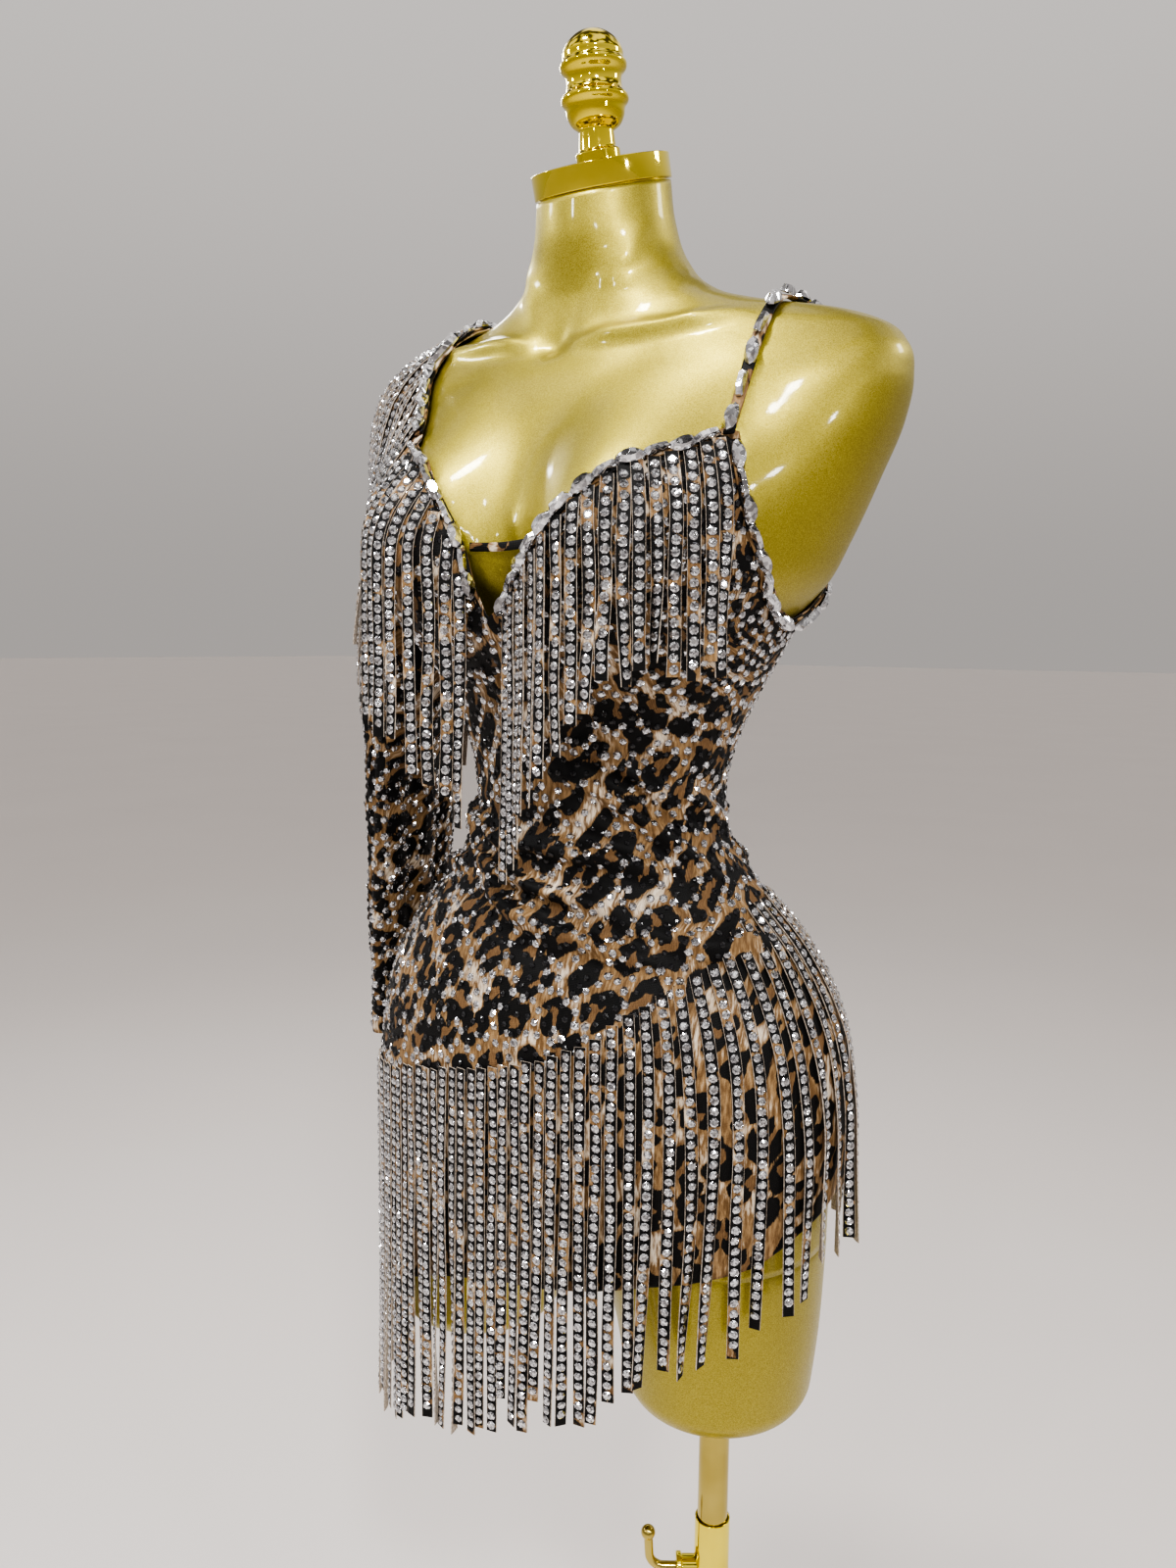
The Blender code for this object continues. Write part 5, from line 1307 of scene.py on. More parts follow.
def stretch_map(grid, closed=False):
    """Distances along the cloth, across and up, used to lay the flat print on it."""
    du = np.linalg.norm(np.diff(grid, axis=0), axis=-1)
    s = np.concatenate([np.zeros((1, grid.shape[1])), np.cumsum(du, axis=0)])
    dv = np.linalg.norm(np.diff(grid, axis=1), axis=-1)
    v = np.concatenate([np.zeros((grid.shape[0], 1)), np.cumsum(dv, axis=1)], axis=1)
    return s, v


def cloth_piece(name, grid, normal, s, v, replaced, closed=False, bottom=True, top=True, offset=(0.0, 0.0)):
    """A cloth piece with its print's distances as attributes, and turned-in free edges."""
    full = with_hems(grid, normal, bottom, top)
    pad = (3 if bottom else 0, 3 if top else 0)
    s2 = np.pad(s, ((0, 0), pad), mode="edge")
    v2 = np.pad(v, ((0, 0), pad), mode="edge")
    x, y = s2 + offset[0], v2 + offset[1]
    spot, core = leopard(x, y)
    m, n = full.shape[:2]
    quads = grid_faces(m, n, closed=closed)
    column = np.arange(n - 1)
    hem = ((column < pad[0] - 1) | (column >= n - 1 - (pad[1] - 1) if pad[1] else column < 0)) if (bottom or top) else np.zeros(n - 1, bool)
    index = np.tile(hem.astype(int), m if closed else m - 1)
    made = make_mesh(
        name, full.reshape(-1, 3), [quads],
        attributes={"pat": np.stack([x, y, 0 * x], -1).reshape(-1, 3), "spot": spot.ravel(), "core": core.ravel()},
        material_index=index,
    )
    finish_piece(made, [LEOPARD, WRONG_SIDE], replaced=replaced)
    area = float(np.sum(np.linalg.norm(np.cross(grid[1:, 1:] - grid[:-1, :-1], grid[:-1, 1:] - grid[1:, :-1]), axis=-1)) / 2)
    return made, area, spot, core


FINE_STEP = 0.0025


def body_grid(edge, hem, start, stop, columns, rows, raise_top=0.0):
    angles = np.linspace(start + SEAM * 0.6, stop - SEAM * 0.6, columns)
    degrees = np.degrees(angles)
    top = straight(edge, 1, degrees) + raise_top
    low = straight(hem, 1, degrees)
    steps = np.linspace(0, 1, rows)
    reference = 0.80 + (1.371 - 0.80) * steps
    grid_z = np.array([row_heights(list(reference), l, t) for l, t in zip(low, top)])
    grid_a = np.repeat(angles[:, None], rows, axis=1)
    return cloth(grid_a, grid_z), grid_a, grid_z


def smooth_edge(edge, step=1.0, start=-180.0, stop=180.0):
    """The edge's table as it is: it is not smoothed."""
    return edge


FRONT, FRONT_A, FRONT_Z = body_grid(TOP_EDGE_FRONT, HEM, -math.pi, 0.0, 226, 214)
BACK, BACK_A, BACK_Z = body_grid(TOP_EDGE_BACK, HEM, 0.0, math.pi, 200, 180)
FRONT_N, BACK_N = normals_of(FRONT), normals_of(BACK)
FRONT_S, FRONT_V = stretch_map(FRONT)
BACK_S, BACK_V = stretch_map(BACK)
# The front's distances run from its centre line, so that the stretch is shared by both sides.
mid = int(np.argmin(np.abs(FRONT_A[:, 0] + math.pi / 2)))
FRONT_S = FRONT_S - FRONT_S[mid][None]
mid = int(np.argmin(np.abs(BACK_A[:, 0] - math.pi / 2)))
BACK_S = BACK_S - BACK_S[mid][None]

front, FRONT_AREA, FRONT_SPOT, FRONT_CORE = cloth_piece("dress_front_cloth", FRONT, FRONT_N, FRONT_S, FRONT_V, ("dress_front",), offset=(0.213, 0.064))
back, BACK_AREA, BACK_SPOT, BACK_CORE = cloth_piece("dress_back_cloth", BACK, BACK_N, BACK_S, BACK_V, ("dress_back",), offset=(0.117, 0.021))

# ---------------------------------------------------------------- yoke and sleeve
def refined(columns, marks, fine):
    """Columns interpolated smoothly to a finer set of marks."""
    columns = np.array(columns)
    rows = [(float(m), *c.ravel()) for m, c in zip(marks, columns)]
    table = np.array(rows)
    x = table[:, 0]
    y = table[:, 1:]
    step = np.diff(x)[:, None]
    rise = np.diff(y, axis=0) / step
    slopes = np.empty_like(y)
    slopes[1:-1] = (rise[:-1] * step[1:] + rise[1:] * step[:-1]) / (x[2:] - x[:-2])[:, None]
    slopes[0], slopes[-1] = rise[0], rise[-1]
    i = np.clip(np.searchsorted(x, fine, side="right") - 1, 0, len(x) - 2)
    h = np.diff(x)[i][:, None]
    t = ((fine - x[i]) / np.diff(x)[i])[:, None]
    out = (2 * t**3 - 3 * t**2 + 1) * y[i] + (t**3 - 2 * t**2 + t) * h * slopes[i] + (3 * t**2 - 2 * t**3) * y[i + 1] + (t**3 - t**2) * h * slopes[i + 1]
    return out.reshape(len(fine), *columns.shape[1:])


def yoke_fine(index, out, rows):
    top, low = pointed(SHOULDER_EDGE, index), pointed(YOKE_LOW, index)
    share = np.linspace(0, 1, rows) ** 1.0
    share = np.interp(share, np.linspace(0, 1, len(YOKE_LEVELS)), YOKE_LEVELS)[::-1]
    return body(np.radians(low[0] + (top[0] - low[0]) * share), low[1] + (top[1] - low[1]) * share, out)


YOKE_I = np.linspace(0.0, 12.0, 150)
YOKE = np.array([yoke_fine(i, SKIN, 60) for i in YOKE_I])
YOKE_N = normals_of(YOKE)
# Rows run from the arm edge up to the neck edge, columns from front to back: the outward side is the other one.
YOKE_N = -YOKE_N if np.mean(np.sum(YOKE_N[60:90, 20:40] * (YOKE[60:90, 20:40] - np.array([FORM_X - 0.05, 0.02, 1.35])), axis=-1)) < 0 else YOKE_N
yoke_s, yoke_v = stretch_map(YOKE)
yoke, YOKE_AREA, YOKE_SPOT, _ = cloth_piece("yoke_cloth", YOKE[::-1], YOKE_N[::-1], yoke_s[::-1], yoke_v[::-1], ("shoulder_yoke",), bottom=False, offset=(0.30, 0.11))

SLEEVE_MARKS = np.concatenate([np.linspace(0, 1, 22), 1 + np.linspace(0.05, 0.95, 14)])
SLEEVE_FINE_ROWS = np.linspace(0, 1, 46) ** 1.15
sleeve_coarse = np.array([sleeve_column(m, CLOTH, SLEEVE_FINE_ROWS) for m in SLEEVE_MARKS])
wrap_marks = np.concatenate([[SLEEVE_MARKS[-2] - 2, SLEEVE_MARKS[-1] - 2], SLEEVE_MARKS, [2.0 + SLEEVE_MARKS[0], 2.0 + SLEEVE_MARKS[1]]])
wrap = np.concatenate([sleeve_coarse[-2:], sleeve_coarse, sleeve_coarse[:2]])
fine_marks = np.linspace(0, 2, 96, endpoint=False)
SLEEVE_G = refined(wrap, wrap_marks, fine_marks)
SLEEVE_G = refined(SLEEVE_G.transpose(1, 0, 2), SLEEVE_FINE_ROWS, np.linspace(0, 1, 200)).transpose(1, 0, 2)
SLEEVE_G = SLEEVE_G[:, ::-1]  # rows from the cuff up
sleeve_n = normals_of(SLEEVE_G, closed=True)
centre = SLEEVE_G.mean(axis=0, keepdims=True)
if np.mean(np.sum(sleeve_n * (SLEEVE_G - centre), axis=-1)) < 0:
    sleeve_n = -sleeve_n
    SLEEVE_FLIP = True
else:
    SLEEVE_FLIP = False


def sleeve_creases(grid, normal):
    """Soft troughs and ridges of an empty hanging sleeve: long ones down it, short ones where it is sewn on."""
    m, n = grid.shape[:2]
    mark = (np.arange(m) / m * 2)[:, None]
    up = np.linspace(0, 1, n)[None, :]
    lift = np.zeros((m, n))
    table = [
        # centre mark, drift, lowest share, highest share, height, width in marks
        (0.16, 0.05, 0.02, 0.80, -0.0058, 0.075),
        (0.33, -0.04, 0.10, 0.92, 0.0030, 0.060),
        (0.52, 0.06, 0.00, 0.62, -0.0040, 0.065),
        (0.70, -0.05, 0.25, 0.95, -0.0048, 0.070),
        (0.86, 0.03, 0.00, 0.55, 0.0026, 0.055),
        (1.30, 0.05, 0.05, 0.85, -0.0050, 0.090),
        (1.62, -0.06, 0.00, 0.75, -0.0044, 0.085),
    ]
    for c, drift, low, high, height, width in table:
        away = (mark - c - drift * np.sin(up * 5 + c * 9) + 1) % 2 - 1
        fade = np.clip((up - low) / 0.10, 0, 1) * np.clip((high - up) / 0.15, 0, 1)
        lift += height * np.exp(-((away / width) ** 2)) * fade
    for c, level, slant, height in ((0.3, 0.42, 0.10, 0.0022), (0.2, 0.60, -0.08, 0.0024), (0.75, 0.50, 0.07, 0.0024), (0.55, 0.25, -0.06, 0.0020), (1.4, 0.35, 0.08, 0.0022), (0.4, 0.78, 0.12, 0.0022)):
        away = (mark - c + 1) % 2 - 1
        lift += height * np.exp(-(((up - level - slant * away) / 0.018) ** 2)) * np.exp(-((away / 0.22) ** 2))
    edge = np.clip(up / 0.03, 0, 1) * 0.75 + 0.25
    return grid + normal * (lift * edge * np.clip((1 - up) / 0.12, 0, 1))[..., None]


SLEEVE_G = sleeve_creases(SLEEVE_G, sleeve_n)
sleeve_s, sleeve_v = stretch_map(SLEEVE_G)
order = slice(None, None, -1) if SLEEVE_FLIP else slice(None)
sleeve, SLEEVE_AREA, SLEEVE_SPOT, _ = cloth_piece("sleeve_cloth", SLEEVE_G[order], sleeve_n[order], sleeve_s[order], sleeve_v[order], ("sleeve",), closed=True, top=False, offset=(0.05, 0.17))

# ---------------------------------------------------------------- strap, bridge and bound edges


def band(name, centre_line, across, normal, width, thickness, replaced, seed=3, crown=0.35):
    """A narrow rounded band of printed cloth along a line."""
    k = 12
    t = np.linspace(0, 2 * math.pi, k, endpoint=False)
    px = np.sign(np.cos(t)) * np.abs(np.cos(t)) ** 0.55 * width / 2
    pz = np.sign(np.sin(t)) * np.abs(np.sin(t)) ** 0.8 * thickness / 2
    grid = centre_line[None] + across[None] * px[:, None, None] + normal[None] * pz[:, None, None]
    m, n = grid.shape[:2]
    length = np.concatenate([[0], np.cumsum(np.linalg.norm(np.diff(centre_line, axis=0), axis=1))])
    x = 0.09 * seed + np.repeat(px[:, None], n, axis=1)
    y = 0.07 * seed + np.repeat(length[None], m, axis=0)
    spot, core = leopard(x, y)
    spot = spot - 1.2
    verts = np.concatenate([grid.reshape(-1, 3), grid[:, 0].mean(0)[None], grid[:, -1].mean(0)[None]])
    i = np.arange(m)
    nxt = (i + 1) % m
    caps = np.concatenate([np.stack([nxt * n, i * n, np.full(m, m * n)], -1), np.stack([i * n + n - 1, nxt * n + n - 1, np.full(m, m * n + 1)], -1)])
    pat = np.concatenate([np.stack([x, y, 0 * x], -1).reshape(-1, 3), np.zeros((2, 3))])
    made = make_mesh(name, verts, [grid_faces(m, n, closed=True), caps], attributes={"pat": pat, "spot": np.append(spot.ravel(), [0, 0]), "core": np.append(core.ravel(), [-5, -5])})
    return finish_piece(made, [LEOPARD], replaced=replaced)


def frames_along(line, out):
    """Tangent, across and outward directions along a line."""
    tangent = np.gradient(line, axis=0)
    tangent /= np.linalg.norm(tangent, axis=1)[:, None]
    out = out - tangent * np.sum(out * tangent, axis=1)[:, None]
    out /= np.linalg.norm(out, axis=1)[:, None]
    return tangent, np.cross(tangent, out), out


def edging(name, line, out, seed, spacing=0.0158, scale=1.0, start=0.004, pattern=(0, 1)):
    """Large stones set end to end along a bound edge: pointed ovals and bars by turns."""
    length = np.concatenate([[0], np.cumsum(np.linalg.norm(np.diff(line, axis=0), axis=1))])
    r = rng(seed)
    at, kind, where = [], [], start + 0.006
    k = 0
    while where < length[-1] - 0.004:
        at.append(where)
        kind.append(pattern[k % len(pattern)])
        where += spacing * scale * r.uniform(0.97, 1.05)
        k += 1
    at, kind = np.array(at), np.array(kind)
    if not len(at):
        return
    tangent, across, normal = frames_along(line, out)
    pick = lambda a: np.stack([np.interp(at, length, a[:, q]) for q in range(3)], -1)
    centre, t, n = pick(line), pick(tangent), pick(normal)
    for which, template, size in ((0, MARQUISE, 0.0094), (1, BAGUETTE, 0.0087)):
        use = kind == which
        if use.any():
            set_stones(f"{name}_{'ovals' if which == 0 else 'bars'}", template, centre[use] + n[use] * 0.0009, t[use] + r.normal(0, 0.06, (use.sum(), 3)), n[use], size * scale, CUT_STONE, seed + which, spin=False, tilt=0.10)


def edge_line(edge, first, last, distance, lift, count=90):
    marks = np.linspace(first, last, count)
    a, z = inset(edge, marks, distance)
    keep = np.concatenate([[True], np.linalg.norm(np.diff(np.stack([np.radians(a) * 0.15, z], -1), axis=0), axis=1) > 1e-5])
    a, z = a[keep], z[keep]
    p = dress(np.radians(a), z, SKIN + lift + folded(np.radians(a), z))
    q = dress(np.radians(a), z, SKIN + lift + 0.01)
    return p, q - p


def bound_edge(name, edge, first, last, replaced, seed, stones=True, pattern=(0, 1), count=90, scale=1.0, corner=None):
    line, out = edge_line(edge, first, last, BAND * 0.5, 0.0010, count)
    tangent, across, normal = frames_along(line, out)
    band(name, line, across, normal, BAND, 0.0020, replaced, seed)
    if corner is not None:
        line, out = edge_line(edge, first, corner, BAND * 0.5, 0.0010, count)
        normal = frames_along(line, out)[2]
    if stones:
        edging(name + "_stones", line + normal * 0.0006, normal, seed * 7, pattern=pattern, scale=scale)


bound_edge("neck_left_band", TOP_EDGE_FRONT, -89.6, -52.0, ("neck_binding_left",), 1, corner=-49.6)
bound_edge("neck_right_band", TOP_EDGE_FRONT, -94.0, -112.5, ("neck_binding_right",), 2)
bound_edge("armhole_left_band", TOP_EDGE_FRONT, -47.0, -0.6, ("armhole_binding_left",), 3, pattern=(0, 1))
bound_edge("back_left_band", TOP_EDGE_BACK, 0.4, 120.5, ("back_binding",), 4, count=200)


def yoke_band():
    marks = np.linspace(0.2, 11.8, 140)
    line = np.array([yoke_line(i, SKIN + 0.0012, BAND * 0.45)[0] for i in marks])
    above = np.array([yoke_line(i, SKIN + 0.0112, BAND * 0.45)[0] for i in marks])
    out = above - line
    tangent, across, normal = frames_along(line, out)
    band("yoke_band", line, across, normal, BAND, 0.0020, ("yoke_binding",), 5)
    edging("yoke_band_stones", line + normal * 0.0006, normal, 35)


yoke_band()

# Left strap: a narrow folded tube of print with stones along it.
strap_line = 0.5 * (strap_edge(-1, 0.0010) + strap_edge(1, 0.0010))
fine = np.linspace(0, len(strap_line) - 1, 140)
strap_rows = [(float(k), *p) for k, p in enumerate(strap_line)]
strap_line = np.stack([along(strap_rows, k, fine) for k in (1, 2, 3)], -1)
strap_side = strap_edge(1, 0.0010) - strap_edge(-1, 0.0010)
strap_side = np.stack([np.interp(fine, range(len(strap_side)), strap_side[:, k]) for k in range(3)], -1)
# Each end runs on under the stitching at the panel's corner.
run_on = [0.0062 * (end - inner) / np.linalg.norm(end - inner) for end, inner in ((strap_line[0], strap_line[3]), (strap_line[-1], strap_line[-4]))]
strap_line = np.vstack([strap_line[0] + run_on[0], strap_line, strap_line[-1] + run_on[1]])
strap_side = np.vstack([strap_side[:1], strap_side, strap_side[-1:]])
strap_tangent = np.gradient(strap_line, axis=0)
strap_tangent /= np.linalg.norm(strap_tangent, axis=1)[:, None]
strap_out = np.cross(strap_side, strap_tangent)
strap_out *= np.sign(np.sum(strap_out * (strap_line - np.array([STRAP_X, 0.02, 1.36])), axis=1))[:, None]
strap_tangent, strap_across, strap_normal = frames_along(strap_line, strap_out)
band("left_strap", strap_line, strap_across, strap_normal, 0.0078, 0.0018, ("shoulder_strap",), 6)
edging("left_strap_stones", strap_line + strap_normal * 0.0011, strap_normal, 66, spacing=0.0225, pattern=(0, 1))


def bridge_band():
    right = dress(math.radians(-96.0), 1.3015, SKIN + 0.0010)
    left = dress(math.radians(-78.9), 1.3015, SKIN + 0.0010)
    share = np.linspace(0, 1, 40)
    line = right * (1 - share[:, None]) + left * share[:, None]
    line[:, 1] += 0.0016 + 0.0022 * np.sin(np.pi * share)
    line[:, 2] += 0.0004 - 0.0010 * np.sin(np.pi * share)
    out = np.tile(np.array([0, -1.0, 0]), (40, 1))
    tangent, across, normal = frames_along(line, out)
    band("bridge_band", line, across, normal, 0.0056, 0.0014, ("bridge_strap",), 8)


bridge_band()

# ---------------------------------------------------------------- fringe
def along_angles(line_of, first, last, spacing_of):
    """Angles of strips sewn along a line, a level distance apart."""
    a = np.linspace(first, last, 1500)
    p = dress(np.radians(a), line_of(a), SKIN)
    run = np.concatenate([[0], np.cumsum(np.hypot(np.diff(p[:, 0]), np.diff(p[:, 1])))])
    at, angles = 0.0045, []
    while at < run[-1] - 0.003:
        here = float(np.interp(at, run, a))
        angles.append(here)
        at += float(spacing_of(here))
    return np.array(angles)


def trimmed(line, drop):
    length = np.concatenate([[0], np.cumsum(np.linalg.norm(np.diff(line, axis=0), axis=1))])
    at = np.linspace(0, drop, max(8, int(drop / 0.003)))
    return np.stack([np.interp(at, length, line[:, k]) for k in range(3)], -1)


def level_normal(angle, z):
    n = dress(angle, z, SKIN + 0.01) - dress(angle, z, SKIN)
    n[..., 2] = 0
    return n / np.linalg.norm(n, axis=-1, keepdims=True)


def hip_strips(name, first, last, seed, replaced):
    r = rng(seed)
    angles = along_angles(lambda a: straight(HIP_LINE, 1, a), first, last, lambda a: np.interp(a, [-180, -120, -90, -60, -40, 0, 90, 180], [0.0094, 0.0092, 0.0094, 0.0104, 0.0110, 0.0112, 0.0106, 0.0094]))
    rad = np.radians(angles)
    z = straight(HIP_LINE, 1, angles) + r.normal(0, 0.0009, len(angles))
    margin = 0.0014 + 0.0010 * (np.arange(len(angles)) % 2)
    start = np.array([dress(a, zz, SKIN + m) for a, zz, m in zip(rad, z, margin)])
    drop = straight(HIP_DROP, 1, angles) * (1 + r.normal(0, 0.020, len(angles)))
    short = r.uniform(0, 1, len(angles)) < 0.10
    drop = np.where(short, drop * r.uniform(0.90, 0.97, len(angles)), drop)
    drop = np.minimum(drop, straight(HIP_DROP, 1, angles) * 1.035)
    lines = hang_many(start, drop * 1.05, margin)
    lines = [trimmed(line, d) for line, d in zip(lines, drop)]
    return ribbons(name, lines, level_normal(rad, z), seed, twist=0.42, sway=0.0032, replaced=replaced)


hip_front = hip_strips("hip_strips_front", -179.6, -0.4, 21, ("hip_fringe_front",))
hip_back = hip_strips("hip_strips_back", 0.4, 179.6, 22, ("hip_fringe_back",))


def chest_left():
    r = rng(31)
    edge = lambda a: straight(TOP_EDGE_FRONT, 1, a)
    angles = along_angles(edge, -89.2, -48.5, lambda a: np.interp(a, [-90, -80, -60, -48], [0.0088, 0.0092, 0.0102, 0.0104]))
    a, z = inset(TOP_EDGE_FRONT, angles, BAND + 0.0006)
    rad = np.radians(a)
    margin = 0.0026 + 0.0010 * (np.arange(len(a)) % 2)
    start = np.array([dress(x, zz, SKIN + m) for x, zz, m in zip(rad, z, margin)])
    drop = np.interp(angles, [-89, -84, -78, -70, -62, -55, -48], [0.176, 0.168, 0.150, 0.128, 0.116, 0.134, 0.138]) * (1 + r.normal(0, 0.035, len(a)))
    drop = np.minimum(drop, CHEST_DROP * 1.14)
    lines = [trimmed(line, d) for line, d in zip(hang_many(start, drop * 1.05, margin), drop)]
    return ribbons("chest_strips_left", lines, level_normal(rad, z), 33, twist=0.20, sway=0.0018, replaced=("chest_fringe_left",))


def chest_right():
    r = rng(41)
    edge = lambda a: straight(TOP_EDGE_FRONT, 1, a)
    angles = along_angles(edge, -112.5, -94.6, lambda a: 0.0088)
    a, z = inset(TOP_EDGE_FRONT, angles, BAND + 0.0006)
    rad = np.radians(a)
    margin = 0.0026 + 0.0010 * (np.arange(len(a)) % 2)
    start = np.array([dress(x, zz, SKIN + m) for x, zz, m in zip(rad, z, margin)])
    drop = np.interp(angles, [-112, -104, -98, -94.6], [0.178, 0.176, 0.170, 0.165]) * (1 + r.normal(0, 0.03, len(a)))
    drop = np.minimum(drop, 0.180)
    lines = [trimmed(line, d) for line, d in zip(hang_many(start, drop * 1.05, margin), drop)]
    outs = list(level_normal(rad, z))
    # Strips that start on the yoke's front edge run over the yoke first.
    for k, index in enumerate(np.arange(0.55, 3.0, 0.36)):
        m = 0.0026 + 0.0010 * (k % 2)
        over = yoke_line(index, SKIN + m, BAND + 0.0006)
        last = over[-1:]
        total = 0.172 + r.normal(0, 0.005)
        rest = hang_many(last, np.array([total]), np.array([m]))[0]
        line = np.concatenate([over[:-1], rest])
        lines.append(trimmed(line, min(total, 0.182)))
        outs.append(level_normal(math.radians(float(pointed(YOKE_LOW, index)[0])), 1.36))
    return ribbons("chest_strips_right", lines, outs, 43, twist=0.20, sway=0.0018, replaced=("chest_fringe_right",))


def shoulder_strips():
    r = rng(51)
    lines, outs = [], []
    marks = np.arange(3.12, 8.95, 0.262)
    for k, index in enumerate(marks):
        m = 0.0026 + 0.0010 * (k % 2)
        mark = (index - ARM_FIRST) / (ARM_LAST - ARM_FIRST)
        over = yoke_line(index, SKIN + m, BAND + 0.0006)
        down = sleeve_column(mark, CLOTH + m + 0.0006, np.linspace(0.02, 0.98, 60))
        line = np.concatenate([over[:-1], down])
        total = 0.290 + r.normal(0, 0.012) + 0.02 * math.sin(index)
        if k in (9, 14):
            total = 0.560
        lines.append(trimmed(line, total))
        n = body(math.radians(float(pointed(YOKE_LOW, index)[0])), 1.385, 0.01) - body(math.radians(float(pointed(YOKE_LOW, index)[0])), 1.385, 0.0)
        n = n + np.array([0, 0, 0.004])
        outs.append(n)
    return ribbons("shoulder_strips", lines, outs, 53, twist=0.20, sway=0.0015, replaced=("sleeve_fringe",))


left_strips = chest_left()
right_strips = chest_right()
arm_strips = shoulder_strips()


# ---------------------------------------------------------------- scattered stones on the cloth
def scatter(points, allowed, spacing, seed, in_line=False):
    """Indices of points at least a spacing apart, taken in a mixed order or from the top down."""
    r = rng(seed)
    candidates = np.flatnonzero(allowed)
    if in_line:
        candidates = candidates[np.argsort(-points[candidates, 2] + 0.35 * points[candidates, 0], kind="stable")]
    else:
        r.shuffle(candidates)
    cell = spacing
    seen = {}
    taken = []
    keys = np.floor(points / cell).astype(int)
    limit = spacing * spacing
    for i in candidates:
        key = keys[i]
        p = points[i]
        clear = True
        for dx in (-1, 0, 1):
            for dy in (-1, 0, 1):
                for dz in (-1, 0, 1):
                    for q in seen.get((key[0] + dx, key[1] + dy, key[2] + dz), ()):
                        if (p[0] - q[0]) ** 2 + (p[1] - q[1]) ** 2 + (p[2] - q[2]) ** 2 < limit:
                            clear = False
                            break
                    if not clear:
                        break
                if not clear:
                    break
            if not clear:
                break
        if clear:
            seen.setdefault((key[0], key[1], key[2]), []).append(p)
            taken.append(i)
    return np.array(taken, int)


def midlines(spot, reach, rise):
    """Where the ground between the black shapes is farthest from them, across at least one direction."""
    found = np.zeros(spot.shape, bool)
    padded = np.pad(spot, reach, mode="edge")
    height, width = spot.shape
    for du, dv in ((1, 0), (0, 1), (1, 1), (1, -1)):
        here = np.ones(spot.shape, bool)
        for sign in (1, -1):
            for step in range(1, reach + 1):
                u, v = reach + sign * du * step, reach + sign * dv * step
                near = padded[u:u + height, v:v + width]
                here &= spot >= near + (rise if step == reach else 0.0)
        found |= here
    return found


def studded(name, grid, normal, spot, core, covered_mask, seed):
    """Black stones on the print's black shapes and clear ones in lines along the ground between them."""
    veins = midlines(spot, 2, 0.35).reshape(-1)
    points, n = grid.reshape(-1, 3), normal.reshape(-1, 3)
    spot, core = spot.reshape(-1), core.reshape(-1)
    allowed = covered_mask.reshape(-1)
    up = np.tile(np.array([0.0, 0.3, 1.0]), (len(points), 1))
    dark = scatter(points, allowed & (spot < -1.2), 0.0066, seed)
    light = scatter(points, allowed & veins & (spot > 0.5) & (core < 0.3), 0.0070, seed + 1, in_line=True)
    r = rng(seed + 2)
    if len(dark):
        set_stones(name + "_jet", SMALL_STONE, points[dark] + n[dark] * 0.0001, up[dark], n[dark], r.uniform(0.0019, 0.0025, len(dark)), JET, seed + 3)
    if len(light):
        set_stones(name + "_clear", SMALL_STONE, points[light] + n[light] * 0.0001, up[light], n[light], r.choice([0.0027, 0.0030, 0.0033], len(light), p=[0.25, 0.4, 0.35]), CRYSTAL, seed + 4)
    print(name, spot.shape, len(dark), len(light), int(veins.sum()))


hip_at = lambda a: straight(HIP_LINE, 1, (np.degrees(a) + 180) % 360 - 180)
trim = (slice(None), slice(3, -3))
studded("front_studs", FRONT, FRONT_N, FRONT_SPOT[trim], FRONT_CORE[trim], (FRONT_Z > hip_at(FRONT_A) - 0.004) & (FRONT_Z < straight(TOP_EDGE_FRONT, 1, np.degrees(FRONT_A)) - 0.010), 61)
studded("back_studs", BACK, BACK_N, BACK_SPOT[trim], BACK_CORE[trim], (BACK_Z > hip_at(BACK_A) - 0.004) & (BACK_Z < straight(TOP_EDGE_BACK, 1, np.degrees(BACK_A)) - 0.010), 71)
sleeve_mask = np.ones(SLEEVE_G.shape[:2], bool)
sleeve_mask[:, :3] = False
sleeve_mask[:, -30:] = False
sleeve_core = np.full(SLEEVE_G.shape[:2], -5.0)
studded("sleeve_studs", SLEEVE_G[order], sleeve_n[order], SLEEVE_SPOT[:, 3:], sleeve_core, sleeve_mask[order], 81)

# ---------------------------------------------------------------- the cloth pieces' cut sizes, worked out but not stored
def cut_of(grid):
    width = float(np.max(np.sum(np.linalg.norm(np.diff(grid, axis=0), axis=-1), axis=0)))
    length = float(np.max(np.sum(np.linalg.norm(np.diff(grid, axis=1), axis=-1), axis=1)))
    return width, length


def obj(name):
    return bpy.data.objects[name]


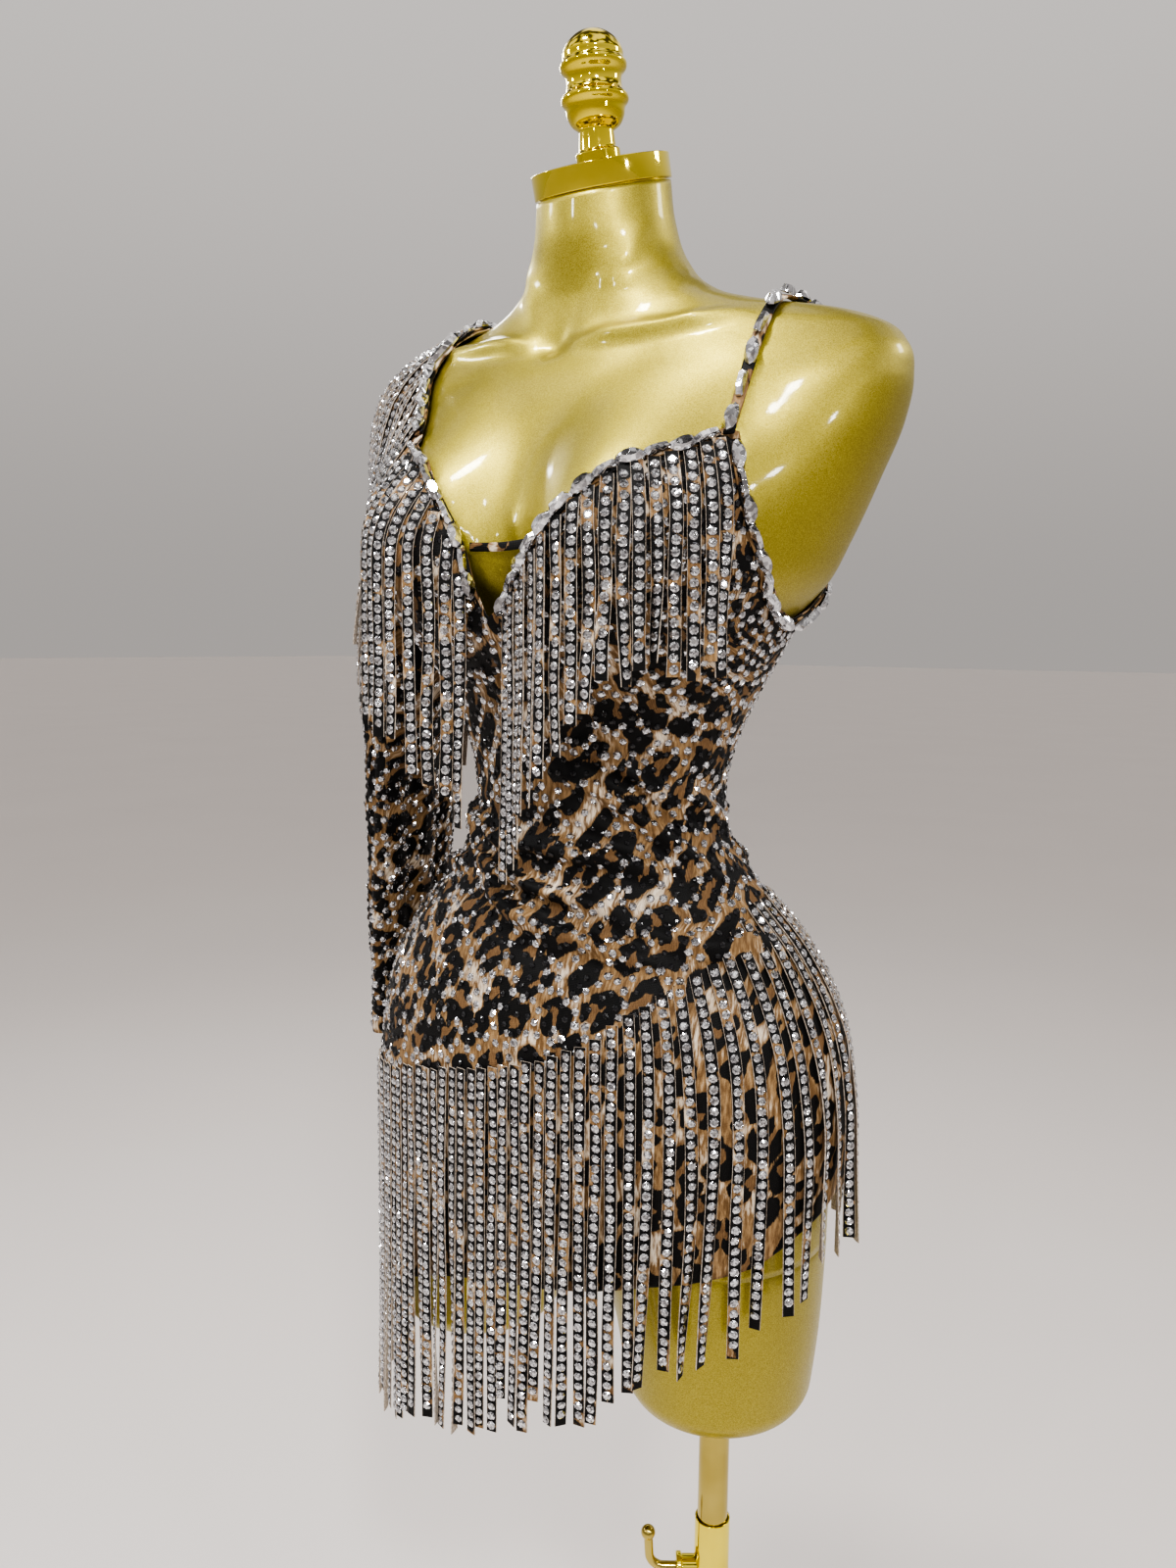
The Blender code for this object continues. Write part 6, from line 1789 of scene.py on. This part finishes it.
with_front = [o for o in bpy.data.objects if o.type == "MESH" and o.name.startswith(("hip_strips_front", "chest_strips", "front_studs", "neck_left_band", "neck_right_band", "armhole_left_band", "bridge_band", "left_strap"))]
with_back = [o for o in bpy.data.objects if o.type == "MESH" and o.name.startswith(("hip_strips_back", "back_studs", "back_left_band"))]
with_yoke = [o for o in bpy.data.objects if o.type == "MESH" and o.name.startswith(("yoke_band",))]
with_sleeve = [o for o in bpy.data.objects if o.type == "MESH" and o.name.startswith(("shoulder_strips", "sleeve_studs"))]
SHEETS = []
STRETCH = 0.94
for piece, grid, area, held, rests, partners in (
    (front, FRONT, FRONT_AREA, "stretched", "dress_form", with_front),
    (back, BACK, BACK_AREA, "stretched", "dress_form", with_back),
    (yoke, YOKE, YOKE_AREA, "stretched", "dress_form", with_yoke),
    (sleeve, SLEEVE_G, SLEEVE_AREA, "hung", "yoke_cloth", with_sleeve),
):
    w, l = cut_of(grid)
    w, l = w * STRETCH, l

# ---------------------------------------------------------------- floor, light and camera
def studio():
    floor = make_mesh("studio_floor", np.array([(-60, -60, -0.0005), (60, -60, -0.0005), (60, 60, -0.0005), (-60, 60, -0.0005)], float), [np.array([[0, 1, 2, 3]])], smooth=False)
    s = Shader("floor_paint")
    texture = s.node("ShaderNodeTexCoord")
    soft = s.noise(texture.outputs["Object"], 1.1, 2.0)
    s.to(s.mix(soft, (0.70, 0.655, 0.63), (0.74, 0.695, 0.67)), "Base Color")
    s.set(Roughness=0.6, Specular_IOR_Level=0.2)
    floor.data.materials.append(s.material)
    world = bpy.data.worlds.new("studio") if bpy.context.scene.world is None else bpy.context.scene.world
    bpy.context.scene.world = world
    world.use_nodes = True
    background = world.node_tree.nodes["Background"]
    background.inputs[1].default_value = 0.92
    tree = world.node_tree
    where = tree.nodes.new("ShaderNodeTexCoord")
    split = tree.nodes.new("ShaderNodeSeparateXYZ")
    rise = tree.nodes.new("ShaderNodeMapRange")
    rise.interpolation_type = "SMOOTHSTEP"
    rise.inputs[1].default_value, rise.inputs[2].default_value = 0.0, 0.55
    blend = tree.nodes.new("ShaderNodeMix")
    blend.data_type = "RGBA"
    blend.inputs[6].default_value = (0.425, 0.398, 0.380, 1)
    blend.inputs[7].default_value = (0.74, 0.70, 0.67, 1)
    tree.links.new(where.outputs["Generated"], split.inputs[0])
    tree.links.new(split.outputs[2], rise.inputs[0])
    tree.links.new(rise.outputs[0], blend.inputs[0])
    tree.links.new(blend.outputs[2], background.inputs[0])
    # High overhead the room is uneven, lit panels and dark gaps, which gives the plating its contrast.
    patches = tree.nodes.new("ShaderNodeTexNoise")
    patches.inputs["Scale"].default_value = 2.6
    patches.inputs["Detail"].default_value = 1.0
    tree.links.new(where.outputs["Generated"], patches.inputs["Vector"])
    uneven = tree.nodes.new("ShaderNodeMapRange")
    uneven.inputs[1].default_value, uneven.inputs[2].default_value = 0.44, 0.56
    uneven.inputs[3].default_value, uneven.inputs[4].default_value = 0.12, 1.75
    tree.links.new(patches.outputs["Fac"], uneven.inputs[0])
    high = tree.nodes.new("ShaderNodeMapRange")
    high.inputs[1].default_value, high.inputs[2].default_value = 0.50, 0.62
    tree.links.new(split.outputs[2], high.inputs[0])
    level = tree.nodes.new("ShaderNodeMix")
    level.inputs[2].default_value = 0.92
    tree.links.new(high.outputs[0], level.inputs[0])
    tree.links.new(uneven.outputs[0], level.inputs[3])
    tree.links.new(level.outputs[0], background.inputs[1])

    def lamp(name, place, aim, size, power, colour=(1, 0.985, 0.96)):
        data = bpy.data.lights.new(name, "AREA")
        data.shape = "RECTANGLE"
        data.size, data.size_y = size
        data.energy = power
        data.color = colour
        made = bpy.data.objects.new(name, data)
        bpy.context.scene.collection.objects.link(made)
        made.location = place
        direction = np.array(aim, float) - np.array(place, float)
        direction /= np.linalg.norm(direction)
        z = -direction
        x = np.cross([0, 0, 1.0], z)
        x = x / np.linalg.norm(x) if np.linalg.norm(x) > 1e-6 else np.array([1.0, 0, 0])
        y = np.cross(z, x)
        from mathutils import Matrix

        made.rotation_euler = Matrix(np.stack([x, y, z], -1).tolist()).to_euler()
        return made

    middle = (-0.1, 0.0, 1.1)
    lamp("key", (1.3, -1.6, 2.7), middle, (0.22, 0.22), 42)
    lamp("overhead", (-0.3, -0.7, 3.0), middle, (0.20, 0.20), 32)
    lamp("fill_left", (-2.6, -1.0, 2.6), middle, (0.30, 0.30), 23, (0.97, 0.98, 1.0))
    lamp("back_right", (1.5, 1.6, 2.6), middle, (0.4, 0.5), 16)
    lamp("back_left", (-1.7, 1.5, 2.6), middle, (0.4, 0.5), 14)
    for k, place in enumerate([(0.5, -2.4, 2.1), (1.9, -0.6, 1.6), (-1.0, -2.2, 2.3), (0.1, -1.6, 3.0), (-1.9, 0.6, 2.4)]):
        lamp(f"spark_{k}", place, middle, (0.10, 0.10), 5.5, (1, 1, 1))


studio()
bpy.context.scene.view_settings.view_transform = "AgX"
bpy.context.scene.view_settings.look = "AgX - Medium High Contrast"


def camera():
    from mathutils import Matrix, Vector

    turn_, pitch, roll = math.radians(33.0), math.radians(6.96), math.radians(0.571)
    ahead = Vector((-math.sin(turn_), math.cos(turn_), 0))
    right = Vector((math.cos(turn_), math.sin(turn_), 0))
    forward = ahead * math.cos(pitch) + Vector((0, 0, -math.sin(pitch)))
    up = right.cross(forward)
    right2 = right * math.cos(roll) + up * math.sin(roll)
    up2 = up * math.cos(roll) - right * math.sin(roll)
    data = bpy.data.cameras.new("photo_camera")
    data.lens, data.sensor_width, data.clip_start = 27.0, 36.0, 0.02
    made = bpy.data.objects.new("photo_camera", data)
    bpy.context.scene.collection.objects.link(made)
    matrix = Matrix((right2, up2, -forward)).transposed().to_4x4()
    matrix.translation = Vector((0.345, -0.706, 1.245))
    made.matrix_world = matrix
    bpy.context.scene.camera = made


camera()

bpy.context.view_layer.update()
